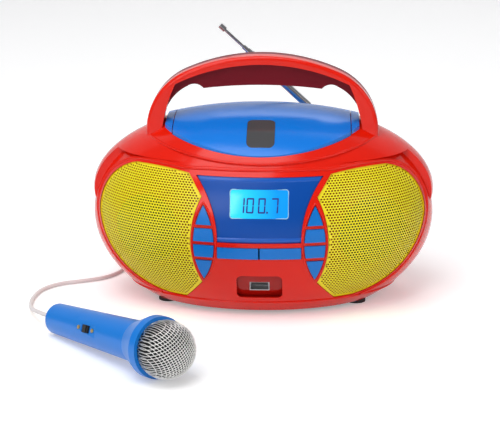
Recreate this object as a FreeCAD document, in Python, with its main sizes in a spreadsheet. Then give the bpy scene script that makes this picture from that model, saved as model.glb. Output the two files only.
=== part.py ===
import FreeCAD, Part
import Sketcher
import math
import os
import re

# CD boombox with a wired microphone, in millimetres.
# +X is the boombox's left to right as seen from the front, the front faces -Y, +Z is up.
# The origin is on the table under the middle of the case.

V = FreeCAD.Vector
doc = FreeCAD.newDocument("boombox")
sheet = doc.addObject("Spreadsheet::Sheet", "dims")

SIZES = {
    # Case, an ellipsoid cut flat below and behind
    "hull_half_width": 120, "hull_half_depth": 83.5, "hull_half_height": 79,
    "hull_mid_y": 4.5, "hull_mid_z": 60, "base_z": 3, "rear_y": 70,
    "shell_wall": 3, "cabinet_wall": 3,
    "split_y": -8, "waist_z": 60, "brow_z": 107, "skirt_z": 9.5,
    # Shoulders of the upper shell, a fuller ellipsoid of the same width
    "shoulder_half_depth": 76.5, "shoulder_half_height": 58.3, "shoulder_mid_z": 77,
    # Fits
    "fit_gap": 0.15, "run_gap": 0.3, "pin_gap": 0.08, "rest_gap": 0.05,
    # Speaker grilles
    "grille_depth": 1.0, "grille_sheet": 1.0,
    "grille_top_x": 47.5, "grille_top_z": 101, "grille_shoulder_x": 85, "grille_shoulder_z": 102.6,
    "grille_side_x": 113, "grille_side_z": 66.8, "grille_toe_x": 62.5, "grille_toe_z": 13,
    "grille_heel_x": 50.5, "grille_heel_z": 12.6, "grille_low_x": 38.8, "grille_low_z": 27,
    "grille_high_x": 38.6, "grille_high_z": 87.3,
    "grille_top_bulge": 1.3, "grille_corner_bulge": 7.7, "grille_belly_bulge": 12.3,
    "grille_leaf_bulge": 7.6,
    # Speakers
    "speaker_x": 76, "speaker_z": 61, "speaker_y": -31, "speaker_radius": 27, "speaker_flange": 1.6,
    "speaker_rim": 4, "speaker_depth": 14, "magnet_radius": 15, "magnet_depth": 9,
    "cone_wall": 0.8, "cone_throat": 9, "cone_depth": 9,
    # Leaf shaped key groups, four keys each
    "leaf_x": 37.3, "leaf_top_z": 82, "leaf_bottom_z": 30.5, "leaf_bulge": 6.9, "leaf_gap": 2.6,
    "leaf_gap_1_z": 68.2, "leaf_gap_2_z": 56.8, "leaf_gap_3_z": 45.8,
    "key_proud": 1.0, "key_travel": 1.0, "key_lip": 0.9, "key_lip_height": 1.3,
    "stem_radius": 1.8, "switch_size": 6, "switch_height": 1.6,
    # Two wide keys under the display
    "wide_key_inner_x": 0.5, "wide_key_outer_x": 28, "wide_key_bottom_z": 46.7, "wide_key_top_z": 54.4,
    "wide_key_proud": 0.7,
    # Display
    "panel_top_half": 42.5, "panel_top_z": 100.2, "panel_bottom_half": 28, "panel_bottom_z": 57.7,
    "panel_side_bulge": 4, "panel_sink": 1.2, "panel_lip": 1.0, "panel_lip_height": 1.4,
    "lens_half": 19.5, "lens_bottom_z": 74.2, "lens_top_z": 92.6, "lens_corner": 1.8,
    "lens_sheet": 1.4, "lens_sink": 0.3,
    "module_width": 43, "module_height": 21, "module_thick": 4, "module_tilt": 19,
    "module_y": -68.2, "module_z": 82.6, "panel_post_x": 27, "panel_post_z": 90,
    # Key board and the sockets on it
    "board_half": 47, "board_bottom_z": 27, "board_top_z": 92, "board_y": -57, "board_thick": 1.6,
    "board_tab_half": 20, "board_tab_z": 19, "post_radius": 2.5, "cabinet_post_x": 22, "cabinet_post_z": 40.5,
    "usb_half": 6.6, "usb_half_height": 2.95, "usb_z": 24.6, "usb_front_y": -66.4, "usb_metal": 0.4,
    "usb_tongue_half": 5.6, "usb_tongue_thick": 1.8, "usb_tongue_sink": 1.6,
    "recess_half": 15.4, "recess_half_height": 9.1, "recess_z": 24.6, "recess_corner": 3.6,
    "recess_depth": 3.5, "recess_floor": 2,
    # Raised collar and the opening for the lid
    "collar_half_width": 81, "collar_half_depth": 65, "collar_rise": 1.2,
    "lid_half_width": 71.5, "lid_half_depth": 62, "lid_mid_y": 2.3, "lid_side_x": 61.4, "cheek_side_x": 67.4,
    "lid_gap": 0.5, "lid_wall": 2.4, "lid_skirt": 5, "lid_skirt_wall": 1.8,
    "dome_half_width": 125, "dome_half_depth": 73.5, "dome_half_height": 46, "dome_y": 4, "dome_z": 89.5,
    "window_half": 9.4, "window_front_y": -54, "window_back_y": -27, "window_corner": 4, "window_sink": 0.3,
    "hinge_x": 18, "hinge_y": 66.8, "hinge_z": 118.2, "hinge_radius": 1.4, "barrel_radius": 2.7,
    "barrel_length": 10, "arm_thick": 2.2, "ear_thick": 3.2, "ear_radius": 3,
    # CD deck
    "deck_half_width": 75, "deck_half_depth": 62.5, "deck_wall": 2, "deck_z": 98, "deck_floor": 2.5,
    "spindle_hole": 6, "slot_start_x": 17, "slot_end_x": 64, "slot_half": 8,
    "hub_radius": 13.5, "hub_z": 101.6, "hub_thick": 2, "boss_radius": 7.4, "boss_height": 4.5,
    "hub_stem_radius": 4, "shaft_radius": 1.2, "shaft_height": 5, "motor_radius": 11, "motor_height": 12,
    "sled_x": 25, "sled_half": 8, "sled_half_width": 14.5, "sled_height": 8, "sled_z": 88.5,
    "rod_radius": 1.5, "rod_half_gap": 11.5, "rod_z": 92.3,
    "lens_radius": 3, "lens_height": 3, "lug_thick": 4, "lug_half": 15,
    "deck_post_x": 40, "deck_post_front_y": -34, "deck_post_back_y": 38, "deck_post_radius": 3,
    "main_board_z": 78, "main_board_thick": 1.6, "main_board_half": 46,
    "main_board_front_y": -40, "main_board_back_y": 44,
    # Carrying handle
    "handle_front_y": -17, "handle_seam_y": -7, "handle_back_y": 3, "handle_foot_z": 112,
    "handle_outer_x": 80.3, "handle_leg_z": 120, "handle_leg_round": 46, "handle_top_z": 173.2,
    "rim_inner_x": 69.4, "rim_elbow_x": 59.8, "rim_elbow_z": 153.4, "rim_crown": 13.8, "rim_leg_bulge": 1.4,
    "grip_inner_x": 68.6, "grip_elbow_x": 52, "grip_elbow_z": 150.4, "grip_leg_bulge": 5.6, "grip_hollow": 2.2,
    "grip_ledge_x": 41, "grip_ledge_z": 148.9, "grip_crown": 2.5,
    "handle_round": 2.6,
    # Telescopic antenna
    "antenna_x": 36.5, "antenna_y": 65, "antenna_z": 117.5, "antenna_lean": 47.6,
    "antenna_boss_radius": 7.4, "antenna_boss_z": 108.5, "antenna_boss_height": 9, "turret_radius": 6.5, "turret_thick": 3,
    "fork_half": 4.2, "fork_slot": 2.3, "fork_wall": 2.2, "fork_rise": 3.6, "pin_radius": 1.2,
    "knuckle_radius": 3.6, "knuckle_half": 2.0,
    "tube_1_radius": 2.9, "tube_2_radius": 2.35, "tube_3_radius": 1.8, "mast_radius": 1.2, "tube_slip": 0.1,
    "tube_1_start": 9, "tube_1_end": 64, "tube_2_start": 12, "tube_2_end": 68, "tube_3_start": 14,
    "tube_3_end": 72, "mast_start": 34, "mast_end": 90, "tip_radius": 2.2, "tip_length": 5,
    # Back of the case
    "door_half": 45.5, "door_bottom_z": 28.5, "door_top_z": 57, "door_pin_rise": 1.6, "door_pin_radius": 0.9,
    "door_pin_length": 1.8, "door_gap": 0.5, "bay_wall": 1.4, "bay_front_y": 15,
    "contact_thick": 0.5, "contact_height": 12, "spring_radius": 4, "spring_length": 5,
    "inlet_x": 58, "inlet_z": 46, "inlet_half": 8.5, "inlet_half_height": 5.5, "inlet_depth": 15,
    "inlet_flange": 1.2, "inlet_pin_radius": 1.2, "inlet_pin_gap": 4.3, "inlet_pin_length": 10,
    "jack_x": -60, "jack_z": 36, "jack_radius": 5, "jack_bore": 3.3, "jack_depth": 14,
    "jack_flange_radius": 6.5, "jack_flange": 1,
    "core_x": -8, "core_y": -20, "core_half": 22, "core_half_depth": 17, "core_height": 32,
    "foot_radius": 7, "foot_x": 66, "foot_front_y": -20, "foot_back_y": 36,
    # Microphone, laid along its own X axis
    "mic_x": -133.6, "mic_y": -96.5, "mic_z": 10.15, "mic_yaw": -47.6, "mic_pitch": -5.05, "mic_roll": 72,
    "mic_length": 92, "mic_tail_radius": 10.2, "mic_neck_radius": 13.3, "mic_tail_round": 2,
    "mic_collar_end": 114, "mic_collar_rim": 6, "mic_collar_radius": 19.6, "mic_rim_wall": 1.8,
    "mic_ball_x": 120.6, "mic_ball_radius": 18.5,
    "mic_switch_x": 50, "mic_plate_half": 11, "mic_plate_half_width": 6.5, "mic_plate_sink": 1.2,
    "mic_plate_height": 11.9, "mic_plate_thick": 0.8, "mic_slider_half": 3, "mic_slider_half_width": 2.4,
    "mic_slider_height": 2, "mic_slider_travel": 3, "mic_screw_gap": 7.6, "mic_screw_radius": 1.3,
    "mic_screw_height": 0.6, "mic_gland_radius": 3, "mic_gland_length": 4,
    # Microphone cord and plug
    "cord_radius": 1.5, "coil_gap": 0.45, "coil_mid_radius": 17.6, "coil_half_turns": 7, "coil_y": 152,
    "plug_radius": 4.6, "plug_length": 17, "plug_tip_radius": 3.1, "plug_tip_length": 12,
    "plug_boot_radius": 2.6, "plug_boot_length": 9,
}

for row, (alias, size) in enumerate(SIZES.items(), 1):
    sheet.set(f"A{row}", alias)
    sheet.set(f"B{row}", str(size))
    sheet.setAlias(f"B{row}", alias)
doc.recompute()

WORD = re.compile(r"[a-z_][a-z_0-9]*")


def sized(text):
    """Names the sheet in front of each of its aliases in an expression."""
    return WORD.sub(lambda m: f"dims.{m.group(0)}" if m.group(0) in SIZES else m.group(0), str(text))


def value(text):
    return float(sheet.evalExpression(sized(text)))


def bind(obj, **expressions):
    for name, text in expressions.items():
        obj.setExpression(name.replace("__", "."), sized(text))


def place(obj, x, y, z):
    bind(obj, Placement__Base__x=x, Placement__Base__y=y, Placement__Base__z=z)


TURN = {"X": FreeCAD.Rotation(V(0, 1, 0), 90), "Y": FreeCAD.Rotation(V(1, 0, 0), -90), "Z": FreeCAD.Rotation()}


def box(name, x, y, z):
    """A box between pairs of expressions."""
    obj = doc.addObject("Part::Box", name)
    bind(obj, Length=f"({x[1]}) - ({x[0]})", Width=f"({y[1]}) - ({y[0]})", Height=f"({z[1]}) - ({z[0]})")
    place(obj, x[0], y[0], z[0])
    return obj


def rod(name, axis, radius, length, x, y, z):
    obj = doc.addObject("Part::Cylinder", name)
    obj.Placement.Rotation = TURN[axis]
    bind(obj, Radius=radius, Height=length)
    place(obj, x, y, z)
    return obj


def cone(name, axis, radius_1, radius_2, length, x, y, z):
    obj = doc.addObject("Part::Cone", name)
    obj.Placement.Rotation = TURN[axis]
    bind(obj, Radius1=radius_1, Radius2=radius_2, Height=length)
    place(obj, x, y, z)
    return obj


def ball(name, radius, x, y, z):
    obj = doc.addObject("Part::Sphere", name)
    bind(obj, Radius=radius)
    place(obj, x, y, z)
    return obj


def ellipsoid(name, half_x, half_y, half_z, x, y, z):
    obj = doc.addObject("Part::Ellipsoid", name)
    obj.Angle1, obj.Angle2 = -90, 90
    bind(obj, Radius1=half_z, Radius2=half_x, Radius3=half_y)
    place(obj, x, y, z)
    return obj


def hull(name, grow="0"):
    """The case's ellipsoid, grown or shrunk all round."""
    return ellipsoid(name, f"hull_half_width + {grow}", f"hull_half_depth + {grow}",
                     f"hull_half_height + {grow}", "0", "hull_mid_y", "hull_mid_z")


def shoulder(name, grow="0"):
    """The fuller ellipsoid that the upper shell's shoulders follow."""
    return ellipsoid(name, f"hull_half_width + {grow}", f"shoulder_half_depth + {grow}",
                     f"shoulder_half_height + {grow}", "0", "hull_mid_y", "shoulder_mid_z")


def dome(name, shrink="0", drop="0"):
    """The lid's own flatter ellipsoid."""
    return ellipsoid(name, f"dome_half_width - ({shrink})", f"dome_half_depth - ({shrink})",
                     f"dome_half_height - ({shrink})", "0", "dome_y", f"dome_z - ({drop})")


def cut(name, base, *tools):
    for number, tool in enumerate(tools):
        obj = doc.addObject("Part::Cut", f"{name}_{number}" if number < len(tools) - 1 else name)
        obj.Base, obj.Tool = base, tool
        base = obj
    return base


def common(name, *shapes):
    base = shapes[0]
    for number, tool in enumerate(shapes[1:]):
        obj = doc.addObject("Part::Common", f"{name}_{number}" if number < len(shapes) - 2 else name)
        obj.Base, obj.Tool = base, tool
        base = obj
    return base


def fuse(name, *shapes):
    obj = doc.addObject("Part::MultiFuse", name)
    obj.Shapes = list(shapes)
    obj.Refine = True
    return obj


def group(name, *shapes):
    obj = doc.addObject("Part::Compound", name)
    obj.Links = list(shapes)
    return obj


def mirrored(name, source):
    """A copy on the other side of the X = 0 plane."""
    obj = doc.addObject("Part::Mirroring", name)
    obj.Source, obj.Normal, obj.Base = source, V(1, 0, 0), V(0, 0, 0)
    return obj


def outline(name, corners, upright):
    """A closed sketch through corners (across, up, bulge of the side that follows), in XZ or XY."""
    sketch = doc.addObject("Sketcher::SketchObject", name)
    if upright:
        sketch.Placement = FreeCAD.Placement(V(0, 0, 0), FreeCAD.Rotation(V(1, 0, 0), 90))
    points = [V(value(a), value(b), 0) for a, b, _ in corners]
    ends = []
    for number, (across, up, bulge) in enumerate(corners):
        start, end = points[number], points[(number + 1) % len(points)]
        if value(bulge) == 0:
            index = sketch.addGeometry(Part.LineSegment(start, end))
            ends.append((index, 1, 2))
        else:
            along = end - start
            side = V(along.y, -along.x, 0).normalize()
            middle = (start + end) * 0.5 + side * value(bulge)
            counterclockwise = value(bulge) > 0
            arc = Part.Arc(start, middle, end) if counterclockwise else Part.Arc(end, middle, start)
            index = sketch.addGeometry(arc)
            ends.append((index, 1, 2) if counterclockwise else (index, 2, 1))
    for number, (index, first, last) in enumerate(ends):
        nxt, nxt_first, _ = ends[(number + 1) % len(ends)]
        sketch.addConstraint(Sketcher.Constraint("Coincident", index, last, nxt, nxt_first))
    for number, (across, up, bulge) in enumerate(corners):
        index, first, _ = ends[number]
        for kind, text in (("DistanceX", across), ("DistanceY", up)):
            which = sketch.addConstraint(Sketcher.Constraint(kind, -1, 1, index, first, value(text)))
            sketch.setExpression(f"Constraints[{which}]", sized(text))
        if value(bulge) != 0:
            end_across, end_up, _ = corners[(number + 1) % len(corners)]
            chord = f"((({end_across}) - ({across})) ^ 2 + (({end_up}) - ({up})) ^ 2)"
            radius = f"{chord} / 8 / abs({bulge}) + abs({bulge}) / 2"
            which = sketch.addConstraint(Sketcher.Constraint("Radius", index, value(radius)))
            sketch.setExpression(f"Constraints[{which}]", sized(radius))
    return sketch


def offset(name, sketch, distance):
    obj = doc.addObject("Part::Offset2D", name)
    obj.Source, obj.Join = sketch, "Arc"
    obj.Value = value(distance)
    bind(obj, Value=distance)
    return obj


def extrude(name, base, direction, length):
    obj = doc.addObject("Part::Extrusion", name)
    obj.Base, obj.DirMode, obj.Dir, obj.Solid = base, "Custom", direction, True
    bind(obj, LengthFwd=length)
    return obj


def through(name, sketch, grow=None):
    """A bar along Y with the outline's section, long enough to pass the front of the case."""
    base = offset(f"{name}_grown", sketch, grow) if grow else sketch
    return extrude(name, base, V(0, -1, 0), "hull_half_depth + 20")


def oval(name, half_x, half_y, y, z, height):
    edge = doc.addObject("Part::Ellipse", f"{name}_edge")
    bind(edge, MajorRadius=half_x, MinorRadius=half_y)
    place(edge, "0", y, z)
    return extrude(name, edge, V(0, 0, 1), height)


def rounded(name, base, radius, picked):
    """Rounds the edges of base that picked(edge) chooses."""
    doc.recompute()
    obj = doc.addObject("Part::Fillet", name)
    obj.Base = base
    size = value(radius)
    obj.Edges = [(i, size, size) for i, edge in enumerate(base.Shape.Edges, 1) if picked(edge)]
    return obj


WIDE = ("-200", "200")
PIECES = []


def piece(label, obj):
    obj.Label = label
    PIECES.append(obj)
    return obj


# Case shells
def skin(name, outer, wall):
    """The case's wall, flat behind."""
    body = common(f"{name}_body", hull(f"{name}_out", outer), box(f"{name}_keep", WIDE, ("-200", "rear_y"), ("base_z", "300")))
    room = common(f"{name}_room", hull(f"{name}_in", f"-({wall})"),
                  box(f"{name}_void", WIDE, ("-200", "rear_y - shell_wall"), ("base_z + shell_wall", "300")))
    return cut(f"{name}_skin", body, room)


def band(name, outer, inner):
    """The layer between two sizes of the case's ellipsoid."""
    return cut(name, hull(f"{name}_o", outer), hull(f"{name}_i", inner))


GRILLE = [
    ("-grille_top_x", "grille_top_z", "grille_top_bulge"),
    ("-grille_shoulder_x", "grille_shoulder_z", "grille_corner_bulge"),
    ("-grille_side_x", "grille_side_z", "grille_belly_bulge"),
    ("-grille_toe_x", "grille_toe_z", "0"),
    ("-grille_heel_x", "grille_heel_z", "0"),
    ("-grille_low_x", "grille_low_z", "-grille_leaf_bulge"),
    ("-grille_high_x", "grille_high_z", "0"),
]
LEAF = [
    ("-leaf_x", "leaf_top_z", "-leaf_bulge"),
    ("-leaf_x", "leaf_bottom_z", "-leaf_bulge"),
]
PANEL = [
    ("-panel_top_half", "panel_top_z", "-panel_side_bulge"),
    ("-panel_bottom_half", "panel_bottom_z", "0"),
    ("panel_bottom_half", "panel_bottom_z", "-panel_side_bulge"),
    ("panel_top_half", "panel_top_z", "0"),
]


def soft_corners(half, low, high, radius):
    """Corners of an upright rectangle with rounded corners, for outline."""
    near, bulge = f"(({half}) - ({radius}))", f"({radius}) * (1 - sqrt(0.5))"
    up, down = f"({low}) + ({radius})", f"({high}) - ({radius})"
    return [(f"-{near}", low, "0"), (near, low, bulge), (half, up, "0"), (half, down, bulge),
            (near, high, "0"), (f"-{near}", high, bulge), (f"-({half})", down, "0"), (f"-({half})", up, bulge)]


RECESS = soft_corners("recess_half", "recess_z - recess_half_height", "recess_z + recess_half_height", "recess_corner")
LENS = soft_corners("lens_half", "lens_bottom_z", "lens_top_z", "lens_corner")
grille_edge = outline("grille_edge", GRILLE, True)
leaf_edge = outline("leaf_edge", LEAF, True)
panel_edge = outline("panel_edge", PANEL, True)
lens_edge = outline("lens_edge", LENS, True)
LEAF_BREAKS = ["leaf_bottom_z - 5", "leaf_gap_3_z", "leaf_gap_2_z", "leaf_gap_1_z", "leaf_top_z + 5"]


def leaf_slab(name, number, spread):
    """The height that key number takes in its leaf, counted from the lowest."""
    low, high = LEAF_BREAKS[number], LEAF_BREAKS[number + 1]
    return box(name, ("-leaf_x - 20", "-leaf_x + 20"), ("-200", "0"),
               (f"{low} + leaf_gap / 2 - ({spread})", f"{high} - leaf_gap / 2 + ({spread})"))


def wide_slab(name, spread, inner="wide_key_inner_x"):
    return box(name, (inner, f"wide_key_outer_x + ({spread})"), ("-200", "0"),
               (f"wide_key_bottom_z - ({spread})", f"wide_key_top_z + ({spread})"))


def front_cabinet():
    wall = common("cabinet_wall_part", skin("cabinet", "0", "cabinet_wall"),
                  box("cabinet_keep", WIDE, ("-200", "split_y"), ("skirt_z", "brow_z")))
    boss = cut("usb_boss", common("usb_boss_bar", hull("usb_boss_out", "-1"),
                                  box("usb_boss_box", ("-recess_half - 2", "recess_half + 2"), ("-200", "0"),
                                      ("recess_z - recess_half_height - 2", "recess_z + recess_half_height + 2"))),
               hull("usb_boss_in", "-(recess_depth + recess_floor)"))
    posts = [common(f"cabinet_post_{side}", hull(f"cabinet_post_hull_{side}", "-1"),
                    rod(f"cabinet_post_rod_{side}", "Y", "post_radius", "board_y + 90",
                        f"{sign} * cabinet_post_x", "-90", "cabinet_post_z"))
             for side, sign in (("left", "-1"), ("right", "1"))]
    tubes = []
    for side, sign in (("left", "-1"), ("right", "1")):
        tube = rod(f"speaker_tube_{side}", "Y", "speaker_radius", "speaker_y + 90", f"{sign} * speaker_x", "-90", "speaker_z")
        tubes.append(common(f"speaker_tube_in_{side}", tube, hull(f"speaker_tube_hull_{side}", "-(grille_depth + grille_sheet + 0.7)")))
    whole = fuse("cabinet_whole", wall, boss, *posts, *tubes)
    pockets = [common("grille_pocket", through("grille_bar_cut", grille_edge, "fit_gap"),
                      band("grille_pocket_band", "2", "-(grille_depth + grille_sheet)"))]
    pockets.append(mirrored("grille_pocket_right", pockets[0]))
    sound = rod("sound_hole", "Y", "speaker_radius - speaker_rim", "speaker_y + 91", "-speaker_x", "-90", "speaker_z")
    leaf_bar = through("leaf_bar_cut", leaf_edge, "run_gap")
    leaves = []
    for number in range(4):
        hole = common(f"leaf_hole_{number}", leaf_bar, leaf_slab(f"leaf_hole_slab_{number}", number, "run_gap"))
        leaves += [hole, mirrored(f"leaf_hole_right_{number}", hole)]
    wide = wide_slab("wide_hole", "run_gap", "-wide_key_outer_x - run_gap")
    recess = common("usb_recess", through("usb_recess_bar", outline("recess_edge", RECESS, True)),
                    band("usb_recess_band", "2", "-recess_depth"))
    port = box("usb_hole", ("-usb_half - fit_gap", "usb_half + fit_gap"), ("-200", "-50"),
               ("usb_z - usb_half_height - fit_gap", "usb_z + usb_half_height + fit_gap"))
    return cut("front_cabinet", whole, *pockets, sound, mirrored("sound_hole_right", sound),
               through("panel_hole", panel_edge, "fit_gap"), *leaves, wide,
               recess, port)


def lid_outline(name, spread, side="lid_side_x"):
    """A tall bar with the lid's plan: an oval with straight sides."""
    full = oval(f"{name}_oval", f"lid_half_width + ({spread})", f"lid_half_depth + ({spread})", "lid_mid_y", "90", "60")
    return common(name, full, box(f"{name}_sides", (f"-({side}) - ({spread})", f"{side} + ({spread})"), ("-200", "200"), ("80", "160")))


def hinge_ears():
    """Pairs of ears that carry the lid's hinge pins."""
    ears = []
    for side, sign in (("left", "-1"), ("right", "1")):
        for end, start in (("near", f"{sign} * hinge_x - barrel_length / 2 - run_gap - ear_thick"),
                           ("far", f"{sign} * hinge_x + barrel_length / 2 + run_gap")):
            tag = f"{side}_{end}"
            round_top = rod(f"ear_top_{tag}", "X", "ear_radius", "ear_thick", start, "hinge_y", "hinge_z")
            stalk = box(f"ear_stalk_{tag}", (start, f"{start} + ear_thick"),
                        ("hinge_y - ear_radius + 0.9", "hinge_y + ear_radius"), ("hinge_z - 10", "hinge_z"))
            ears.append(cut(f"ear_{tag}", fuse(f"ear_whole_{tag}", round_top, stalk),
                            rod(f"ear_bore_{tag}", "X", "hinge_radius", "ear_thick + 2", f"{start} - 1", "hinge_y", "hinge_z"),
                            hull(f"ear_room_{tag}", "-shell_wall")))
    return ears


def upper_shell():
    region = fuse("upper_region", box("upper_top", WIDE, ("-200", "200"), ("brow_z", "300")),
                  box("upper_back", WIDE, ("split_y", "200"), ("waist_z", "brow_z + 1")))
    form = fuse("upper_form", hull("upper_out"), shoulder("shoulder_out"))
    body = common("upper_body", form, box("upper_keep", WIDE, ("-200", "rear_y"), ("base_z", "300")), region)
    inside = ("-200", "rear_y - shell_wall")
    room = common("upper_room", hull("upper_in", "-shell_wall"), box("upper_void", WIDE, inside, ("0", "300")))
    spaces = fuse("shoulder_spaces", box("shoulder_over", WIDE, inside, ("brow_z + shell_wall", "300")),
                  box("shoulder_behind", WIDE, ("split_y + shell_wall", inside[1]), ("waist_z - 1", "300")))
    hollow_part = common("shoulder_room", shoulder("shoulder_in", "-shell_wall"), spaces)
    wall = cut("upper_wall", body, room, hollow_part)
    collar = cut("collar", common("collar_bar", hull("collar_out", "collar_rise"),
                                  oval("collar_plan", "collar_half_width", "collar_half_depth", "lid_mid_y", "brow_z", "60")),
                 hull("collar_in", "-shell_wall"))
    boss = common("antenna_boss", rod("antenna_boss_rod", "Z", "antenna_boss_radius", "antenna_boss_height",
                                      "antenna_x", "antenna_y", "antenna_boss_z - antenna_boss_height"),
                  box("antenna_boss_keep", WIDE, ("-200", "rear_y"), ("0", "200")))
    turret_room = rod("turret_room", "Z", "turret_radius + run_gap", "40", "antenna_x", "antenna_y", "antenna_boss_z")
    return cut("upper_shell", fuse("upper_whole", wall, collar, boss, *hinge_ears()), lid_outline("lid_hole", "0"),
               turret_room)


def lower_shell():
    region = fuse("lower_region", box("lower_floor", WIDE, ("-200", "200"), ("0", "skirt_z")),
                  box("lower_back", WIDE, ("split_y", "200"), ("skirt_z - 1", "waist_z")))
    wall = common("lower_wall", skin("lower", "0", "shell_wall"), region)
    bay = box("bay_hole", ("-door_half - door_gap", "door_half + door_gap"), ("rear_y - 10", "rear_y + 10"),
              ("door_bottom_z - door_gap", "door_top_z + door_gap"))
    pin = rod("door_pin_hole", "X", "door_pin_radius + pin_gap", "2 * (door_half + door_pin_length + door_gap)",
              "-(door_half + door_pin_length + door_gap)", "rear_y - shell_wall / 2", "door_bottom_z + door_pin_rise")
    inlet = box("inlet_hole", ("inlet_x - inlet_half - fit_gap", "inlet_x + inlet_half + fit_gap"), ("rear_y - 10", "rear_y + 10"),
                ("inlet_z - inlet_half_height - fit_gap", "inlet_z + inlet_half_height + fit_gap"))
    jack = rod("jack_hole", "Y", "jack_radius + fit_gap", "20", "jack_x", "rear_y - 10", "jack_z")
    return cut("lower_shell", wall, bay, pin, inlet, jack)


def cheeks():
    """Blue end caps of the lid's dome, fixed on the collar beside the handle's legs."""
    plan = lid_outline("cheek_plan", "-lid_gap", "cheek_side_x")
    inner = box("cheek_inner", ("-lid_side_x - 0.1", "lid_side_x + 0.1"), ("-200", "200"), ("0", "300"))
    return cut("lid_cheeks", common("cheek_block", plan, dome("cheek_dome")), inner, hull("cheek_seat", "collar_rise"))


def feet():
    spots = [(x, y) for x in ("-foot_x", "foot_x") for y in ("foot_front_y", "foot_back_y")]
    return group("feet", *[rod(f"foot_{i}", "Z", "foot_radius", "base_z", x, y, "0") for i, (x, y) in enumerate(spots)])


# Front panel
def left_grille():
    return common("left_grille", through("grille_bar", grille_edge), band("grille_band", "-grille_depth", "-(grille_depth + grille_sheet)"))


def display_panel():
    face = common("panel_face", through("panel_bar", panel_edge), band("panel_band", "-panel_sink", "-(cabinet_wall + panel_lip_height)"))
    lip = common("panel_lip_part", through("panel_lip_bar", panel_edge, "panel_lip"),
                 band("panel_lip_band", "-cabinet_wall", "-(cabinet_wall + panel_lip_height)"))
    posts = [common(f"panel_post_{side}", hull(f"panel_post_hull_{side}", "-(cabinet_wall + 0.5)"),
                    rod(f"panel_post_rod_{side}", "Y", "post_radius", "board_y + 90",
                        f"{sign} * panel_post_x", "-90", "panel_post_z"))
             for side, sign in (("left", "-1"), ("right", "1"))]
    window = through("lens_hole", lens_edge, "fit_gap")
    keep_off = wide_slab("panel_key_room", "key_lip + run_gap", "-wide_key_outer_x - key_lip - run_gap")
    return cut("display_panel", fuse("panel_whole", face, lip, *posts), window, keep_off)


def display_lens():
    return common("display_lens", through("lens_bar", lens_edge),
                  band("lens_band", "-(panel_sink + lens_sink)", "-(panel_sink + lens_sink + lens_sheet)"))


def display_module():
    obj = doc.addObject("Part::Box", "display_module")
    bind(obj, Length="module_width", Width="module_thick", Height="module_height")
    tilt = math.radians(value("module_tilt"))
    obj.Placement.Rotation = FreeCAD.Rotation(V(1, 0, 0), -value("module_tilt"))
    half = "module_height / 2"
    place(obj, "-module_width / 2", f"module_y - {half} * {math.sin(tilt)}", f"module_z - {half} * {math.cos(tilt)}")
    return obj


def key(name, cap_bar, lip_bar, proud, stem_x, stem_z):
    """A push key: a cap flush with the case, a lip behind the wall and a stem towards its switch."""
    cap = common(f"{name}_cap", cap_bar, band(f"{name}_cap_band", proud, "-(cabinet_wall + rest_gap + key_lip_height)"))
    lip = common(f"{name}_lip", lip_bar, band(f"{name}_lip_band", "-(cabinet_wall + rest_gap)",
                                              "-(cabinet_wall + rest_gap + key_lip_height)"))
    stem = common(f"{name}_stem", hull(f"{name}_stem_hull", "-cabinet_wall"),
                  rod(f"{name}_stem_rod", "Y", "stem_radius", "board_y - switch_height - key_travel - run_gap + 90",
                      stem_x, "-90", stem_z))
    return fuse(name, cap, lip, stem)


LEAF_STEMS = ["leaf_gap_3_z - 6", "(leaf_gap_3_z + leaf_gap_2_z) / 2", "(leaf_gap_2_z + leaf_gap_1_z) / 2", "leaf_gap_1_z + 6"]


def leaf_keys():
    caps, lips = through("leaf_bar", leaf_edge), through("leaf_lip_bar", leaf_edge, "key_lip")
    keys = []
    for number in range(4):
        name = f"left_key_{4 - number}"
        cap_bar = common(f"{name}_bar", caps, leaf_slab(f"{name}_slab", number, "0"))
        lip_bar = common(f"{name}_lip_bar", lips, leaf_slab(f"{name}_lip_slab", number, "key_lip"))
        keys.append(key(name, cap_bar, lip_bar, "key_proud", "-leaf_x", LEAF_STEMS[number]))
    return keys


def wide_key():
    return key("right_wide_key", wide_slab("wide_key_bar", "0"), wide_slab("wide_key_lip_bar", "0.6 * key_lip"), "wide_key_proud",
               "(wide_key_inner_x + wide_key_outer_x) / 2", "(wide_key_bottom_z + wide_key_top_z) / 2")


def key_board():
    """The printed board behind the keys, with a push switch behind every key."""
    board = box("board_plate", ("-board_half", "board_half"), ("board_y", "board_y + board_thick"), ("board_bottom_z", "board_top_z"))
    tab = box("board_tab", ("-board_tab_half", "board_tab_half"), ("board_y", "board_y + board_thick"), ("board_tab_z", "board_bottom_z + 1"))
    spots = [("-leaf_x", z) for z in LEAF_STEMS] + [("leaf_x", z) for z in LEAF_STEMS]
    middle = "(wide_key_inner_x + wide_key_outer_x) / 2"
    spots += [(f"{sign} * {middle}", "(wide_key_bottom_z + wide_key_top_z) / 2") for sign in ("-1", "1")]
    switches = [box(f"switch_{i}", (f"{x} - switch_size / 2", f"{x} + switch_size / 2"), ("board_y - switch_height", "board_y"),
                    (f"{z} - switch_size / 2", f"{z} + switch_size / 2")) for i, (x, z) in enumerate(spots)]
    return fuse("key_board", board, tab, *switches)


def usb_parts():
    shell = cut("usb_socket", box("usb_out", ("-usb_half", "usb_half"), ("usb_front_y", "board_y"),
                                  ("usb_z - usb_half_height", "usb_z + usb_half_height")),
                box("usb_in", ("-usb_half + usb_metal", "usb_half - usb_metal"), ("usb_front_y - 1", "board_y - 2 * usb_metal"),
                    ("usb_z - usb_half_height + usb_metal", "usb_z + usb_half_height - usb_metal")))
    tongue = box("usb_tongue", ("-usb_tongue_half", "usb_tongue_half"), ("usb_front_y + usb_tongue_sink", "board_y - 2 * usb_metal"),
                 ("usb_z + 0.4", "usb_z + 0.4 + usb_tongue_thick"))
    return shell, tongue


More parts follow.
